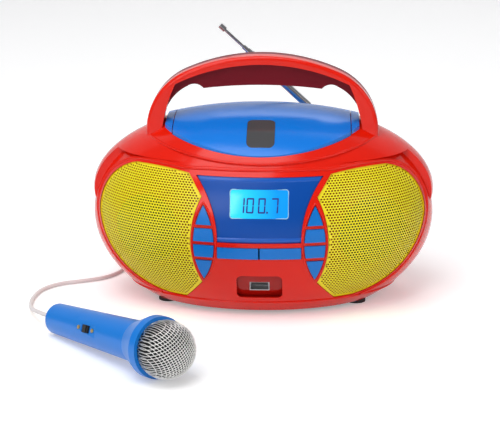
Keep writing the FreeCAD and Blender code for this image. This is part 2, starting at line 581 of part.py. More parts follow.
# Speakers
def speaker():
    ring = cut("speaker_ring", rod("speaker_ring_out", "Y", "speaker_radius", "speaker_flange", "-speaker_x", "speaker_y", "speaker_z"),
               rod("speaker_ring_in", "Y", "speaker_radius - speaker_rim", "speaker_flange + 2", "-speaker_x", "speaker_y - 1", "speaker_z"))
    basket = cut("basket", cone("basket_out", "Y", "speaker_radius - speaker_rim + 1.2", "magnet_radius", "speaker_depth",
                                "-speaker_x", "speaker_y + speaker_flange", "speaker_z"),
                 cone("basket_in", "Y", "speaker_radius - speaker_rim", "magnet_radius - 2", "speaker_depth - 1.2",
                      "-speaker_x", "speaker_y + speaker_flange", "speaker_z"))
    magnet = rod("magnet", "Y", "magnet_radius", "magnet_depth", "-speaker_x", "speaker_y + speaker_flange + speaker_depth - 0.5", "speaker_z")
    frame = fuse("left_speaker_frame", ring, basket, magnet)
    mouth = "speaker_radius - speaker_rim"
    paper = cut("cone_paper", cone("cone_out", "Y", mouth, "cone_throat", "cone_depth", "-speaker_x", "speaker_y + 0.6", "speaker_z"),
                cone("cone_in", "Y", f"{mouth} - cone_wall", "cone_throat - cone_wall", "cone_depth", "-speaker_x", "speaker_y + 0.59", "speaker_z"))
    cap_radius = "cone_throat"
    cap = common("dust_cap", ball("dust_ball", cap_radius, "-speaker_x", "speaker_y + cone_depth + 2", "speaker_z"),
                 box("dust_keep", WIDE, ("-200", "speaker_y + cone_depth + 0.6"), ("0", "200")))
    return frame, fuse("left_speaker_cone", paper, cap)


# CD compartment
def cd_deck():
    cup = cut("deck_cup", common("deck_bar", oval("deck_plan", "deck_half_width", "deck_half_depth", "lid_mid_y", "deck_z", "60"),
                                 hull("deck_top", "-shell_wall"), box("deck_keep", WIDE, ("-200", "rear_y - shell_wall"), ("0", "300"))),
              oval("deck_room", "deck_half_width - deck_wall", "deck_half_depth - deck_wall", "lid_mid_y", "deck_z + deck_floor", "60"))
    lugs = []
    for end, start in (("inner", "slot_start_x - lug_thick - 1"), ("outer", "slot_end_x + 1")):
        lugs.append(box(f"lug_{end}", (start, f"{start} + lug_thick"), ("lid_mid_y - lug_half", "lid_mid_y + lug_half"), ("rod_z - 4", "deck_z + 1")))
    posts = [rod(f"deck_post_{i}", "Z", "deck_post_radius", "deck_z + 1 - main_board_z - main_board_thick", x, y, "main_board_z + main_board_thick")
             for i, (x, y) in enumerate([(x, y) for x in ("-deck_post_x", "deck_post_x") for y in ("deck_post_front_y", "deck_post_back_y")])]
    slot = box("sled_slot", ("slot_start_x", "slot_end_x"), ("lid_mid_y - slot_half", "lid_mid_y + slot_half"), ("deck_z - 1", "deck_z + deck_floor + 1"))
    hole = rod("spindle_hole_cut", "Z", "spindle_hole", "deck_floor + 2", "0", "lid_mid_y", "deck_z - 1")
    bores = [rod(f"rod_bore_{i}", "X", "rod_radius", "slot_end_x", "slot_start_x - lug_thick", f"lid_mid_y + {s} * rod_half_gap", "rod_z")
             for i, s in enumerate(("-1", "1"))]
    above = cut("deck_lid_room", lid_outline("deck_lid_plan", "0"), dome("deck_lid_under", "0", "lid_skirt + 2 * run_gap"))
    return cut("cd_deck", fuse("deck_whole", cup, *lugs, *posts), slot, hole, *bores, above)


def spindle():
    table = rod("hub_table", "Z", "hub_radius", "hub_thick", "0", "lid_mid_y", "hub_z")
    boss = rod("hub_boss", "Z", "boss_radius", "boss_height", "0", "lid_mid_y", "hub_z + hub_thick")
    stem = rod("hub_stem", "Z", "hub_stem_radius", "hub_z - deck_z - run_gap", "0", "lid_mid_y", "deck_z + run_gap")
    bore = rod("hub_bore", "Z", "shaft_radius + pin_gap", "shaft_height + rest_gap", "0", "lid_mid_y", "deck_z")
    return cut("spindle_hub", fuse("hub_whole", table, boss, stem), bore)


def spindle_motor():
    can = rod("motor_can", "Z", "motor_radius", "motor_height", "0", "lid_mid_y", "deck_z - motor_height")
    shaft = rod("motor_shaft", "Z", "shaft_radius", "shaft_height + 1", "0", "lid_mid_y", "deck_z - 1")
    return fuse("spindle_motor", can, shaft)


def sled():
    block = box("sled_block", ("sled_x - sled_half", "sled_x + sled_half"), ("lid_mid_y - sled_half_width", "lid_mid_y + sled_half_width"),
                ("sled_z", "sled_z + sled_height"))
    eye = rod("sled_eye", "Z", "lens_radius", "lens_height", "sled_x", "lid_mid_y", "sled_z + sled_height")
    bores = [rod(f"sled_bore_{i}", "X", "rod_radius + pin_gap", "2 * sled_half + 2", "sled_x - sled_half - 1", f"lid_mid_y + {s} * rod_half_gap", "rod_z")
             for i, s in enumerate(("-1", "1"))]
    return cut("pickup_sled", fuse("sled_whole", block, eye), *bores)


def guide_rods():
    return group("guide_rods", *[rod(f"guide_rod_{i}", "X", "rod_radius", "slot_end_x - slot_start_x + 2 + lug_thick",
                                     "slot_start_x - 1 - lug_thick / 2", f"lid_mid_y + {s} * rod_half_gap", "rod_z")
                                 for i, s in enumerate(("-1", "1"))])


def window_bar(name, spread):
    bar = box(f"{name}_box", (f"-window_half - ({spread})", f"window_half + ({spread})"),
              (f"window_front_y - ({spread})", f"window_back_y + ({spread})"), ("100", "150"))
    return rounded(name, bar, f"window_corner + ({spread})", lambda e: abs(e.tangentAt(e.FirstParameter).z) > 0.99)


def cd_lid():
    plan = lid_outline("lid_plan", "-lid_gap")
    cover = cut("lid_cover", common("lid_block", plan, dome("lid_dome")), dome("lid_room", "lid_wall"))
    skirt = cut("lid_skirt_part", common("lid_skirt_block", lid_outline("lid_skirt_plan", "-lid_gap"), dome("lid_skirt_top", "0.2")),
                lid_outline("lid_skirt_room", "-(lid_gap + lid_skirt_wall)"), dome("lid_skirt_under", "0", "lid_skirt"))
    arms = []
    for side, sign in (("left", "-1"), ("right", "1")):
        start = f"{sign} * hinge_x - barrel_length / 2"
        barrel = rod(f"barrel_{side}", "X", "barrel_radius", "barrel_length", start, "hinge_y", "hinge_z")
        arm = box(f"arm_{side}", (start, f"{start} + barrel_length"), ("lid_mid_y + lid_half_depth - 7", "hinge_y"),
                  ("hinge_z", "hinge_z + arm_thick"))
        arms += [barrel, arm]
    bores = [rod(f"barrel_bore_{i}", "X", "hinge_radius + pin_gap", "barrel_length + 2", f"{s} * hinge_x - barrel_length / 2 - 1", "hinge_y", "hinge_z")
             for i, s in enumerate(("-1", "1"))]
    return cut("cd_lid", fuse("lid_whole", cover, skirt, *arms), *bores, window_bar("window_hole", "fit_gap"))


def lid_window():
    return cut("lid_window", common("window_block", window_bar("window_plan", "0"), dome("window_top", "window_sink")), dome("window_under", "lid_wall"))


def hinge_pins():
    length = "barrel_length + 2 * (run_gap + ear_thick)"
    return group("hinge_pins", *[rod(f"hinge_pin_{i}", "X", "hinge_radius", length, f"{s} * hinge_x - ({length}) / 2", "hinge_y", "hinge_z")
                                 for i, s in enumerate(("-1", "1"))])


# Carrying handle
def arch(name, leg_x, leg_bulge, elbow_x, elbow_z, crown, ledge=None):
    """The outline of one edge of the handle, from foot to foot, with a hollow between elbow and ledge if one is given."""
    left = [(f"-({leg_x})", "handle_foot_z", "0"), (f"-({leg_x})", "handle_leg_z", f"-({leg_bulge})")]
    middle = [(f"-({elbow_x})", elbow_z, f"-({crown})")]
    if ledge:
        ledge_x, ledge_z, hollow_bulge = ledge
        middle = [(f"-({elbow_x})", elbow_z, f"-({hollow_bulge})"), (f"-({ledge_x})", ledge_z, f"-({crown})"),
                  (ledge_x, ledge_z, f"-({hollow_bulge})")]
    right = [(elbow_x, elbow_z, f"-({leg_bulge})"), (leg_x, "handle_leg_z", "0"), (leg_x, "handle_foot_z", "0")]
    return outline(name, left + middle + right, True)


def outer_arch(name):
    """The handle's outer edge: upright feet, then leg arcs that run smoothly into the crown's arc."""
    reach, rise = "(handle_outer_x - handle_leg_round)", "(handle_top_z - handle_leg_round)"
    middle = f"(({reach} ^ 2 + handle_leg_z ^ 2 - {rise} ^ 2) / 2 / (handle_leg_z - {rise}))"
    crown_radius = f"(handle_top_z - {middle})"
    share = f"({crown_radius} / ({crown_radius} - handle_leg_round))"
    elbow_x, elbow_z = f"({reach} * {share})", f"({middle} + (handle_leg_z - {middle}) * {share})"
    chord = f"((handle_outer_x - {elbow_x}) ^ 2 + ({elbow_z} - handle_leg_z) ^ 2)"
    leg_bulge = f"(handle_leg_round - sqrt(handle_leg_round ^ 2 - {chord} / 4))"
    return arch(name, "handle_outer_x", leg_bulge, elbow_x, elbow_z, f"(handle_top_z - {elbow_z})")


def handle_half(name, front, back, round_y, inner):
    """Half of the handle between two planes across Y, its outer edge rounded on the face at round_y."""
    outer = outer_arch(f"{name}_outer")
    block = extrude(f"{name}_block", outer, V(0, 1, 0), f"({back}) - ({front})")
    room = extrude(f"{name}_room", inner, V(0, 1, 0), f"({back}) - ({front}) + 2")
    bind(outer, Placement__Base__y=front)
    bind(inner, Placement__Base__y=f"({front}) - 1")
    soft = rounded(f"{name}_soft", block, "handle_round", lambda e: on_face(e, round_y))
    return cut(name, soft, room, hull(f"{name}_seat", "collar_rise"), shoulder(f"{name}_side_seat"))


def on_face(edge, y):
    """True for the edges on the face at y that lie above the handle's feet."""
    span = edge.BoundBox
    flat = abs(span.YMin - value(y)) < 1e-4 and abs(span.YMax - value(y)) < 1e-4
    return flat and span.ZMax > value("handle_foot_z") + 0.1


def handle_parts():
    rim = arch("rim_inner", "rim_inner_x", "rim_leg_bulge", "rim_elbow_x", "rim_elbow_z", "rim_crown")
    grip = arch("grip_inner", "grip_inner_x", "grip_leg_bulge", "grip_elbow_x", "grip_elbow_z", "grip_crown",
                ("grip_ledge_x", "grip_ledge_z", "grip_hollow"))
    return (handle_half("handle_front", "handle_front_y", "handle_seam_y", "handle_front_y", rim),
            handle_half("handle_rear", "handle_seam_y", "handle_back_y", "handle_back_y", grip))


# Antenna
def along(obj):
    """Turns an antenna section, made upright at the origin, to its lean and moves it to the tilt pin."""
    obj.Placement.Rotation = FreeCAD.Rotation(V(0, 1, 0), -value("antenna_lean"))
    place(obj, "antenna_x", "antenna_y", "antenna_z")
    return obj


def antenna_turret():
    disc = rod("turret_disc", "Z", "turret_radius", "turret_thick", "antenna_x", "antenna_y", "antenna_boss_z")
    cheeks_pair = [box(f"fork_{i}", ("antenna_x - fork_half", "antenna_x + fork_half"),
                       (f"antenna_y + {a}", f"antenna_y + {b}"), ("antenna_boss_z + turret_thick - 0.5", "antenna_z + fork_rise"))
                   for i, (a, b) in enumerate((("fork_slot", "fork_slot + fork_wall"), ("-fork_slot - fork_wall", "-fork_slot")))]
    pin = rod("tilt_pin", "Y", "pin_radius", "2 * (fork_slot + fork_wall)", "antenna_x", "antenna_y - fork_slot - fork_wall", "antenna_z")
    return fuse("antenna_turret", disc, *cheeks_pair, pin)


def hollow(name, radius, bore, start, end):
    return cut(name, rod(f"{name}_out", "Z", radius, f"({end}) - ({start})", "0", "0", start),
               rod(f"{name}_in", "Z", bore, f"({end}) - ({start}) + 2", "0", "0", f"({start}) - 1"))


def antenna_sections():
    knuckle = rod("knuckle", "Y", "knuckle_radius", "2 * knuckle_half", "0", "-knuckle_half", "0")
    neck = box("knuckle_neck", ("-knuckle_half", "knuckle_half"), ("-knuckle_half", "knuckle_half"), ("0", "tube_1_start"))
    plug = rod("tube_1_plug", "Z", "tube_1_radius", "2.6", "0", "0", "tube_1_start - 2")
    barrel = hollow("tube_1_barrel", "tube_1_radius", "tube_2_radius + tube_slip", "tube_1_start", "tube_1_end")
    first = cut("antenna_tube_1", fuse("tube_1_whole", knuckle, neck, plug, barrel),
                rod("knuckle_bore", "Y", "pin_radius + pin_gap", "20", "0", "-10", "0"))
    second = hollow("antenna_tube_2", "tube_2_radius", "tube_3_radius + tube_slip", "tube_2_start", "tube_2_end")
    third = hollow("antenna_tube_3", "tube_3_radius", "mast_radius + tube_slip", "tube_3_start", "tube_3_end")
    mast = fuse("antenna_mast", rod("mast_rod", "Z", "mast_radius", "mast_end - mast_start + 0.5", "0", "0", "mast_start"),
                rod("mast_tip", "Z", "tip_radius", "tip_length", "0", "0", "mast_end"))
    return [along(obj) for obj in (first, second, third, mast)]


# Back of the case
def battery_door():
    plate = box("door_plate", ("-door_half", "door_half"), ("rear_y - shell_wall", "rear_y"), ("door_bottom_z + 0.6", "door_top_z"))
    pin = rod("door_pin", "X", "door_pin_radius", "2 * (door_half + door_pin_length)", "-(door_half + door_pin_length)",
              "rear_y - shell_wall / 2", "door_bottom_z + door_pin_rise")
    return fuse("battery_door", plate, pin)


def battery_bay():
    inner = ("-door_half - door_gap", "door_half + door_gap")
    low, high = "door_bottom_z - door_gap", "door_top_z + door_gap"
    return cut("battery_bay", box("bay_out", (f"{inner[0]} - bay_wall", f"{inner[1]} + bay_wall"), ("bay_front_y - bay_wall", "rear_y - shell_wall"),
                                  (f"{low} - bay_wall", f"{high} + bay_wall")),
               box("bay_in", inner, ("bay_front_y", "rear_y"), (low, high)))


def battery_contacts():
    """Contact plates on the bay's side walls, each with its cone shaped spring."""
    pieces = []
    middle = "(door_bottom_z + door_top_z) / 2"
    for row, y in enumerate(("bay_front_y + 14", "bay_front_y + 39")):
        plate = box(f"contact_{row}", ("-door_half - door_gap", "-door_half - door_gap + contact_thick"),
                    (f"{y} - contact_height / 2", f"{y} + contact_height / 2"), (f"{middle} - contact_height / 2", f"{middle} + contact_height / 2"))
        spring = cone(f"contact_spring_{row}", "X", "spring_radius", "spring_radius - 1.5", "spring_length", "-door_half - door_gap + contact_thick - 0.1", y, middle)
        left = fuse(f"contact_left_{row}", plate, spring)
        pieces += [left, mirrored(f"contact_right_{row}", left)]
    return group("battery_contacts", *pieces)


def mains_inlet():
    body = box("inlet_body", ("inlet_x - inlet_half", "inlet_x + inlet_half"), ("rear_y - inlet_depth", "rear_y"),
               ("inlet_z - inlet_half_height", "inlet_z + inlet_half_height"))
    flange = box("inlet_flange_plate", ("inlet_x - inlet_half - 1.5", "inlet_x + inlet_half + 1.5"), ("rear_y", "rear_y + inlet_flange"),
                 ("inlet_z - inlet_half_height - 1.5", "inlet_z + inlet_half_height + 1.5"))
    room = [rod(f"inlet_room_{i}", "Y", "inlet_half_height - 1.5", "inlet_pin_length + 10", f"inlet_x + {s} * inlet_pin_gap", "rear_y - inlet_pin_length", "inlet_z")
            for i, s in enumerate(("-1", "1"))]
    pins = [rod(f"inlet_pin_{i}", "Y", "inlet_pin_radius", "inlet_pin_length", f"inlet_x + {s} * inlet_pin_gap", "rear_y - inlet_pin_length - 1", "inlet_z")
            for i, s in enumerate(("-1", "1"))]
    return fuse("mains_inlet", cut("inlet_shell", fuse("inlet_whole", body, flange), *room), *pins)


def mic_jack():
    body = rod("jack_body", "Y", "jack_radius", "jack_depth", "jack_x", "rear_y - jack_depth", "jack_z")
    flange = rod("jack_flange_disc", "Y", "jack_flange_radius", "jack_flange", "jack_x", "rear_y", "jack_z")
    return cut("mic_jack", fuse("jack_whole", body, flange),
               rod("jack_bore_cut", "Y", "jack_bore", "jack_depth + 5", "jack_x", "rear_y - jack_depth + 1.5", "jack_z"))


def transformer():
    return box("transformer", ("core_x - core_half", "core_x + core_half"), ("core_y - core_half_depth", "core_y + core_half_depth"),
               ("base_z + shell_wall", "base_z + shell_wall + core_height"))


def main_board():
    return box("main_board", ("-main_board_half", "main_board_half"), ("main_board_front_y", "main_board_back_y"),
               ("main_board_z", "main_board_z + main_board_thick"))


# Microphone
MIC_TURN = FreeCAD.Rotation(value("mic_yaw"), value("mic_pitch"), value("mic_roll"))


def mic_laid(obj):
    """Lays a microphone piece, made along X from its tail, where the microphone lies."""
    obj.Placement.Rotation = MIC_TURN
    place(obj, "mic_x", "mic_y", "mic_z")
    return obj


def microphone():
    barrel = cone("mic_barrel", "X", "mic_tail_radius", "mic_neck_radius", "mic_length", "0", "0", "0")
    softened = rounded("mic_barrel_round", barrel, "mic_tail_round", lambda e: e.BoundBox.XMax < 0.1)
    flat = "mic_plate_height"
    pocket = box("mic_pocket", ("mic_switch_x - mic_plate_half", "mic_switch_x + mic_plate_half"),
                 ("-mic_plate_half_width", "mic_plate_half_width"), (f"{flat} - mic_plate_sink", "30"))
    body = mic_laid(cut("mic_body", softened, pocket))
    start = "mic_length"
    flare = cone("mic_flare", "X", "mic_neck_radius", "mic_collar_radius", "mic_collar_end - mic_collar_rim - mic_length", start, "0", "0")
    rim = rod("mic_rim", "X", "mic_collar_radius", "mic_collar_rim", "mic_collar_end - mic_collar_rim", "0", "0")
    collar = mic_laid(cut("mic_collar", fuse("mic_collar_whole", flare, rim), ball("mic_collar_room", "mic_ball_radius", "mic_ball_x", "0", "0")))
    grille = mic_laid(common("mic_grille", ball("mic_ball", "mic_ball_radius", "mic_ball_x", "0", "0"),
                             box("mic_ball_keep", ("mic_length", "200"), ("-50", "50"), ("-50", "50"))))
    plate = box("mic_plate_block", ("mic_switch_x - mic_plate_half", "mic_switch_x + mic_plate_half"),
                ("-mic_plate_half_width", "mic_plate_half_width"), (f"{flat} - mic_plate_sink", f"{flat} - mic_plate_sink + mic_plate_thick"))
    groove = box("mic_groove", ("mic_switch_x - mic_slider_half - mic_slider_travel / 2 - fit_gap", "mic_switch_x + mic_slider_half + mic_slider_travel / 2 + fit_gap"),
                 ("-mic_slider_half_width - fit_gap", "mic_slider_half_width + fit_gap"), (f"{flat} - mic_plate_sink - 1", "30"))
    switch_plate = mic_laid(cut("mic_switch_plate", common("mic_plate_round", plate, barrel), groove))
    return body, collar, grille, switch_plate


def mic_fittings():
    """The two screws of the switch plate, the slider and the gland at the tail."""
    seat = "mic_plate_height - mic_plate_sink + mic_plate_thick"
    screws = group("mic_screws", *[rod(f"mic_screw_{i}", "Z", "mic_screw_radius", "mic_screw_height",
                                       f"mic_switch_x + {s} * mic_screw_gap", "0", seat) for i, s in enumerate(("-1", "1"))])
    low = "mic_plate_height - mic_plate_sink + 0.1"
    slider = fuse("mic_slider",
                  box("mic_slider_foot", ("mic_switch_x - mic_slider_half", "mic_switch_x + mic_slider_half"),
                      ("-mic_slider_half_width", "mic_slider_half_width"), (low, f"{low} + mic_slider_height - 0.6")),
                  box("mic_slider_ridge", ("mic_switch_x - mic_slider_half / 2", "mic_switch_x + mic_slider_half / 2"),
                      ("-mic_slider_half_width", "mic_slider_half_width"), (low, f"{low} + mic_slider_height")))
    gland = fuse("mic_gland", rod("gland_barrel", "X", "mic_gland_radius", "mic_gland_length / 2", "-mic_gland_length / 2", "0", "0"),
                 cone("gland_nose", "X", "cord_radius + 0.3", "mic_gland_radius", "mic_gland_length / 2", "-mic_gland_length", "0", "0"))
    return mic_laid(screws), mic_laid(slider), mic_laid(gland)


# Microphone cord
def route_path(points):
    """Straight runs joined by the largest arcs that the runs allow."""
    edges, radii, last = [], [], points[0]
    for before, corner, after in zip(points, points[1:], points[2:]):
        coming, going = (corner - before), (after - corner)
        reach = 0.45 * min(coming.Length, going.Length)
        coming.normalize()
        going.normalize()
        half_turn = coming.getAngle(going) / 2
        radius = reach / math.tan(half_turn)
        inward = (going - coming).normalize()
        start, end = corner - coming * reach, corner + going * reach
        middle = corner + inward * (radius / math.cos(half_turn) - radius)
        edges += [Part.LineSegment(last, start).toShape(), Part.Arc(start, middle, end).toShape()]
        radii.append(radius)
        last = end
    edges.append(Part.LineSegment(last, points[-1]).toShape())
    return Part.Wire(edges), radii


def tube_along(name, path, start, direction):
    radius = value("cord_radius")
    ring = Part.Wire([Part.makeCircle(radius, start, direction)])
    solid = path.makePipeShell([ring], True, False)
    share = solid.Volume / (math.pi * radius ** 2 * path.Length)
    print(f"{name}: {path.Length:.1f} mm long, volume over section times length {share:.4f}")
    obj = doc.addObject("Part::Feature", name)
    obj.Shape = solid
    return obj


CORD_LIFT = 0.1
LEAD_ROUTE = [(-149.4, -78, 8.4), (-156, -64, 5.2), (-160.2, -46, 2.7), (-161.6, -26, 1.7), (-158.6, -7, 1.6),
              (-148, 7, 1.6), (-131, 14, 1.6), (-115, 23, 1.6), (-105.5, 40, 1.6), (-102, 62, 1.6),
              (-102.6, 86, 1.6), (-105, 109, 1.6), (-107.28, 130, 1.6)]
TAIL_ROUTE = [(-60, 106, 35.6), (-60.5, 115.6, 30.4), (-60, 124, 21), (-60.4, 131.4, 11.6), (-60, 140, 5.05)]


def coil_points():
    """Half turns that spiral in on the table, climb a layer and spiral out again."""
    pitch = 2 * value("cord_radius") + value("coil_gap")
    turns = int(value("coil_half_turns"))
    outer = value("coil_mid_radius") + turns * pitch / 4
    low = value("cord_radius") + CORD_LIFT
    radii = [outer - k * pitch / 2 for k in range(turns + 2)]
    radii += [radii[-2] + (k + 1) * pitch / 2 for k in range(turns)]
    middle = V(value("jack_x") - outer, value("coil_y"), 0)
    points = []
    for k, radius in enumerate(radii):
        side = -1 if k % 2 == 0 else 1
        points.append(middle + V(side * radius, 0, low if k <= turns else low + pitch))
    return points


def coil_path(points):
    lead = V(0, 2 * value("cord_radius"), 0)
    edges = [Part.LineSegment(points[0] - lead, points[0]).toShape()]
    for k, (start, end) in enumerate(zip(points, points[1:])):
        reach = (end - start).Length / 2
        middle = (start + end) * 0.5 + V(0, reach if k % 2 == 0 else -reach, 0)
        edges.append(Part.Arc(start, middle, end).toShape())
    edges.append(Part.LineSegment(points[-1], points[-1] - lead).toShape())
    return Part.Wire(edges)


def least_gap(path, diameter):
    """The least clear distance between stretches of the coil that aren't neighbours along it."""
    points = path.discretize(Distance=1.0)
    skip = int(3 * diameter)
    nearest = min(a.distanceToPoint(b) for i, a in enumerate(points) for b in points[i + skip:])
    return nearest - diameter


def cord():
    mic = FreeCAD.Placement(V(value("mic_x"), value("mic_y"), value("mic_z")), MIC_TURN)
    nose = mic.multVec(V(-value("mic_gland_length"), 0, 0))
    out = mic.multVec(V(-value("mic_gland_length") - 10, 0, 0))
    turns = coil_points()
    step = V(0, 2 * value("cord_radius"), 0)
    boot_end = V(value("jack_x"), value("rear_y + jack_flange + plug_length + plug_boot_length"), value("jack_z"))
    lead, lead_radii = route_path([nose, out] + [V(*p) for p in LEAD_ROUTE] + [turns[0] - step])
    tail, tail_radii = route_path([boot_end] + [V(*p) for p in TAIL_ROUTE] + [turns[-1] - step])
    coil = coil_path(turns)
    print("lead radii", [round(r) for r in lead_radii], "tail radii", [round(r) for r in tail_radii])
    print(f"coil gap {least_gap(coil, 2 * value('cord_radius')):.2f} mm")
    return (tube_along("cord_lead", lead, nose, out - nose), tube_along("cord_coil", coil, turns[0] - step, step),
            tube_along("cord_tail", tail, boot_end, V(0, 1, 0)))


def mic_plug():
    face = "rear_y + jack_flange"
    tip = rod("plug_tip", "Y", "plug_tip_radius", "plug_tip_length + 0.5", "jack_x", f"{face} - plug_tip_length", "jack_z")
    body = rod("plug_body", "Y", "plug_radius", "plug_length", "jack_x", face, "jack_z")
    boot = cone("plug_boot", "Y", "plug_boot_radius", "cord_radius + 0.3", "plug_boot_length", "jack_x", f"{face} + plug_length", "jack_z")
    return fuse("mic_plug", tip, body, boot)


# Assembly
piece("front_cabinet", front_cabinet())
piece("upper_shell", upper_shell())
piece("lower_shell", lower_shell())
piece("lid_cheeks", cheeks())
piece("feet", feet())
grille = piece("left_grille", left_grille())
piece("right_grille", mirrored("right_grille", grille))
piece("display_panel", display_panel())
piece("display_lens", display_lens())
piece("display_module", display_module())
for number, left in enumerate(leaf_keys()):
    piece(f"left_key_{4 - number}", left)
    piece(f"right_key_{4 - number}", mirrored(f"right_key_{4 - number}", left))
wide = piece("right_wide_key", wide_key())
piece("left_wide_key", mirrored("left_wide_key", wide))
piece("key_board", key_board())
for label, obj in zip(("usb_socket", "usb_tongue"), usb_parts()):
    piece(label, obj)
for label, obj in zip(("speaker_frame", "speaker_cone"), speaker()):
    piece(f"left_{label}", obj)
    piece(f"right_{label}", mirrored(f"right_{label}", obj))
piece("cd_deck", cd_deck())
piece("cd_lid", cd_lid())
piece("lid_window", lid_window())
piece("hinge_pins", hinge_pins())
piece("spindle_hub", spindle())
piece("spindle_motor", spindle_motor())
piece("pickup_sled", sled())
piece("guide_rods", guide_rods())
for label, obj in zip(("handle_front", "handle_rear"), handle_parts()):
    piece(label, obj)
piece("antenna_turret", antenna_turret())
for label, obj in zip(("antenna_tube_1", "antenna_tube_2", "antenna_tube_3", "antenna_mast"), antenna_sections()):
    piece(label, obj)
piece("battery_door", battery_door())
piece("battery_bay", battery_bay())
piece("battery_contacts", battery_contacts())
piece("mains_inlet", mains_inlet())
piece("mic_jack", mic_jack())
piece("transformer", transformer())
piece("main_board", main_board())
for label, obj in zip(("mic_body", "mic_collar", "mic_grille", "mic_switch_plate"), microphone()):
    piece(label, obj)
for label, obj in zip(("mic_screws", "mic_slider", "mic_gland"), mic_fittings()):
    piece(label, obj)
for label, obj in zip(("cord_lead", "cord_coil", "cord_tail"), cord()):
    piece(label, obj)
piece("mic_plug", mic_plug())

doc.recompute()
faults = [f"{obj.Name}: {obj.State}" for obj in doc.Objects if {"Invalid", "Error"} & set(obj.State)]
for obj in PIECES:
    if obj.Shape.isNull() or not obj.Shape.isValid() or not obj.Shape.Solids:
        faults.append(f"{obj.Label}: not a valid solid")
if faults:
    raise SystemExit("\n".join(faults))

os.makedirs("parts", exist_ok=True)
for obj in PIECES:
    obj.Shape.exportStep(f"parts/{obj.Label}.step")
    print(f"{obj.Label}: {len(obj.Shape.Solids)} solids, {obj.Shape.Volume:.0f} mm3")
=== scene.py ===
import math
import bpy
import numpy as np
from mathutils import Matrix, Vector


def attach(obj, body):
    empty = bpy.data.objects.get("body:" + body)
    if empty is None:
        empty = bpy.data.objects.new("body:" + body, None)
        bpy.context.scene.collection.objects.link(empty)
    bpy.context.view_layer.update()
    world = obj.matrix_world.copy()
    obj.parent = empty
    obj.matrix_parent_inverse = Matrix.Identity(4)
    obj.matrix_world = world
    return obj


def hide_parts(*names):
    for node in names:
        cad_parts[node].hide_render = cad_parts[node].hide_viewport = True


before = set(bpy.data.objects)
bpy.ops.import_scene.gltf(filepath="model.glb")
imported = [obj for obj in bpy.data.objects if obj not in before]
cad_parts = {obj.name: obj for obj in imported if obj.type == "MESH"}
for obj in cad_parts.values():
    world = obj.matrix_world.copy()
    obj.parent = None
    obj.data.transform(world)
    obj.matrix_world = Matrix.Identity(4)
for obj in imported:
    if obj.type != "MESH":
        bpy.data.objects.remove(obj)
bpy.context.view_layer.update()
print("frame loaded:", len(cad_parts), "nodes")

# The case is an ellipsoid, so front pieces are placed by X, Z and how far they lie under its skin.
hull = {"half": (0.120, 0.0835, 0.079), "mid": (0.0, 0.0045, 0.060)}
collar = {"halfWidth": 0.081, "halfDepth": 0.065, "midY": 0.0023, "rise": 0.0012, "beadSink": 0.0004,
          "beadRadius": 0.0010, "beadSteps": 180}


def frontOf(x, z, sink):
    # y on the front of the ellipsoid shrunk by sink
    halfX, halfY, halfZ = (h - sink for h in hull["half"])
    inside = 1 - (x / halfX) ** 2 - ((z - hull["mid"][2]) / halfZ) ** 2
    return hull["mid"][1] - halfY * np.sqrt(np.maximum(inside, 0))


def topOf(x, y, rise):
    # z on the top of the ellipsoid grown by rise
    halfX, halfY, halfZ = (h + rise for h in hull["half"])
    inside = 1 - (x / halfX) ** 2 - ((y - hull["mid"][1]) / halfY) ** 2
    return hull["mid"][2] + halfZ * np.sqrt(np.maximum(inside, 0))


def hullNormal(points):
    # outward normal of the ellipsoid at points
    n = (points - np.array(hull["mid"])) / np.array(hull["half"]) ** 2
    return n / np.linalg.norm(n, axis=-1, keepdims=True)


# Mesh helpers
def gridQuads(rows, cols, closeRows=False, closeCols=False):
    # quads of a rows by cols grid of points, joined round where asked
    r = np.arange(rows if closeRows else rows - 1)
    c = np.arange(cols if closeCols else cols - 1)
    a, b = np.meshgrid(r, c, indexing="ij")
    nextA, nextB = (a + 1) % rows, (b + 1) % cols
    quads = np.stack([a * cols + b, a * cols + nextB, nextA * cols + nextB, nextA * cols + b], axis=-1)
    return quads.reshape(-1, 4)


def addPiece(name, points, faces, material, body, smooth=True):
    # a mesh of the points and faces, riding on a body and named for a material slot
    faceList = faces if isinstance(faces, list) else faces.tolist()
    mesh = bpy.data.meshes.new(name)
    mesh.from_pydata(np.asarray(points).reshape(-1, 3).tolist(), [], faceList)
    mesh.polygons.foreach_set("use_smooth", np.full(len(mesh.polygons), smooth))
    mesh.materials.append(material)
    mesh.update()
    obj = bpy.data.objects.new(name, mesh)
    bpy.context.scene.collection.objects.link(obj)
    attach(obj, body)
    return obj


def alongPath(path, closed):
    # unit direction at each point of a path
    if closed:
        d = np.roll(path, -1, axis=0) - np.roll(path, 1, axis=0)
    else:
        d = np.gradient(path, axis=0)
    return d / np.linalg.norm(d, axis=-1, keepdims=True)


def sweep(path, outward, profile, closed):
    # a profile of (across, out) pairs carried along a path, out being the given normal at each point
    direction = alongPath(path, closed)
    across = np.cross(direction, outward)
    across /= np.linalg.norm(across, axis=-1, keepdims=True)
    out = np.cross(across, direction)
    profile = np.asarray(profile)
    sideways = across[:, None, :] * profile[None, :, :1]
    outwards = out[:, None, :] * profile[None, :, 1:]
    return path[:, None, :] + sideways + outwards


def ringProfile(radius, sides, flat=1.0):
    # points of a circle, pressed flat outwards by the given share
    angle = np.linspace(0, 2 * math.pi, sides, endpoint=False)
    return np.stack([np.cos(angle) * radius, np.sin(angle) * radius * flat], axis=-1)


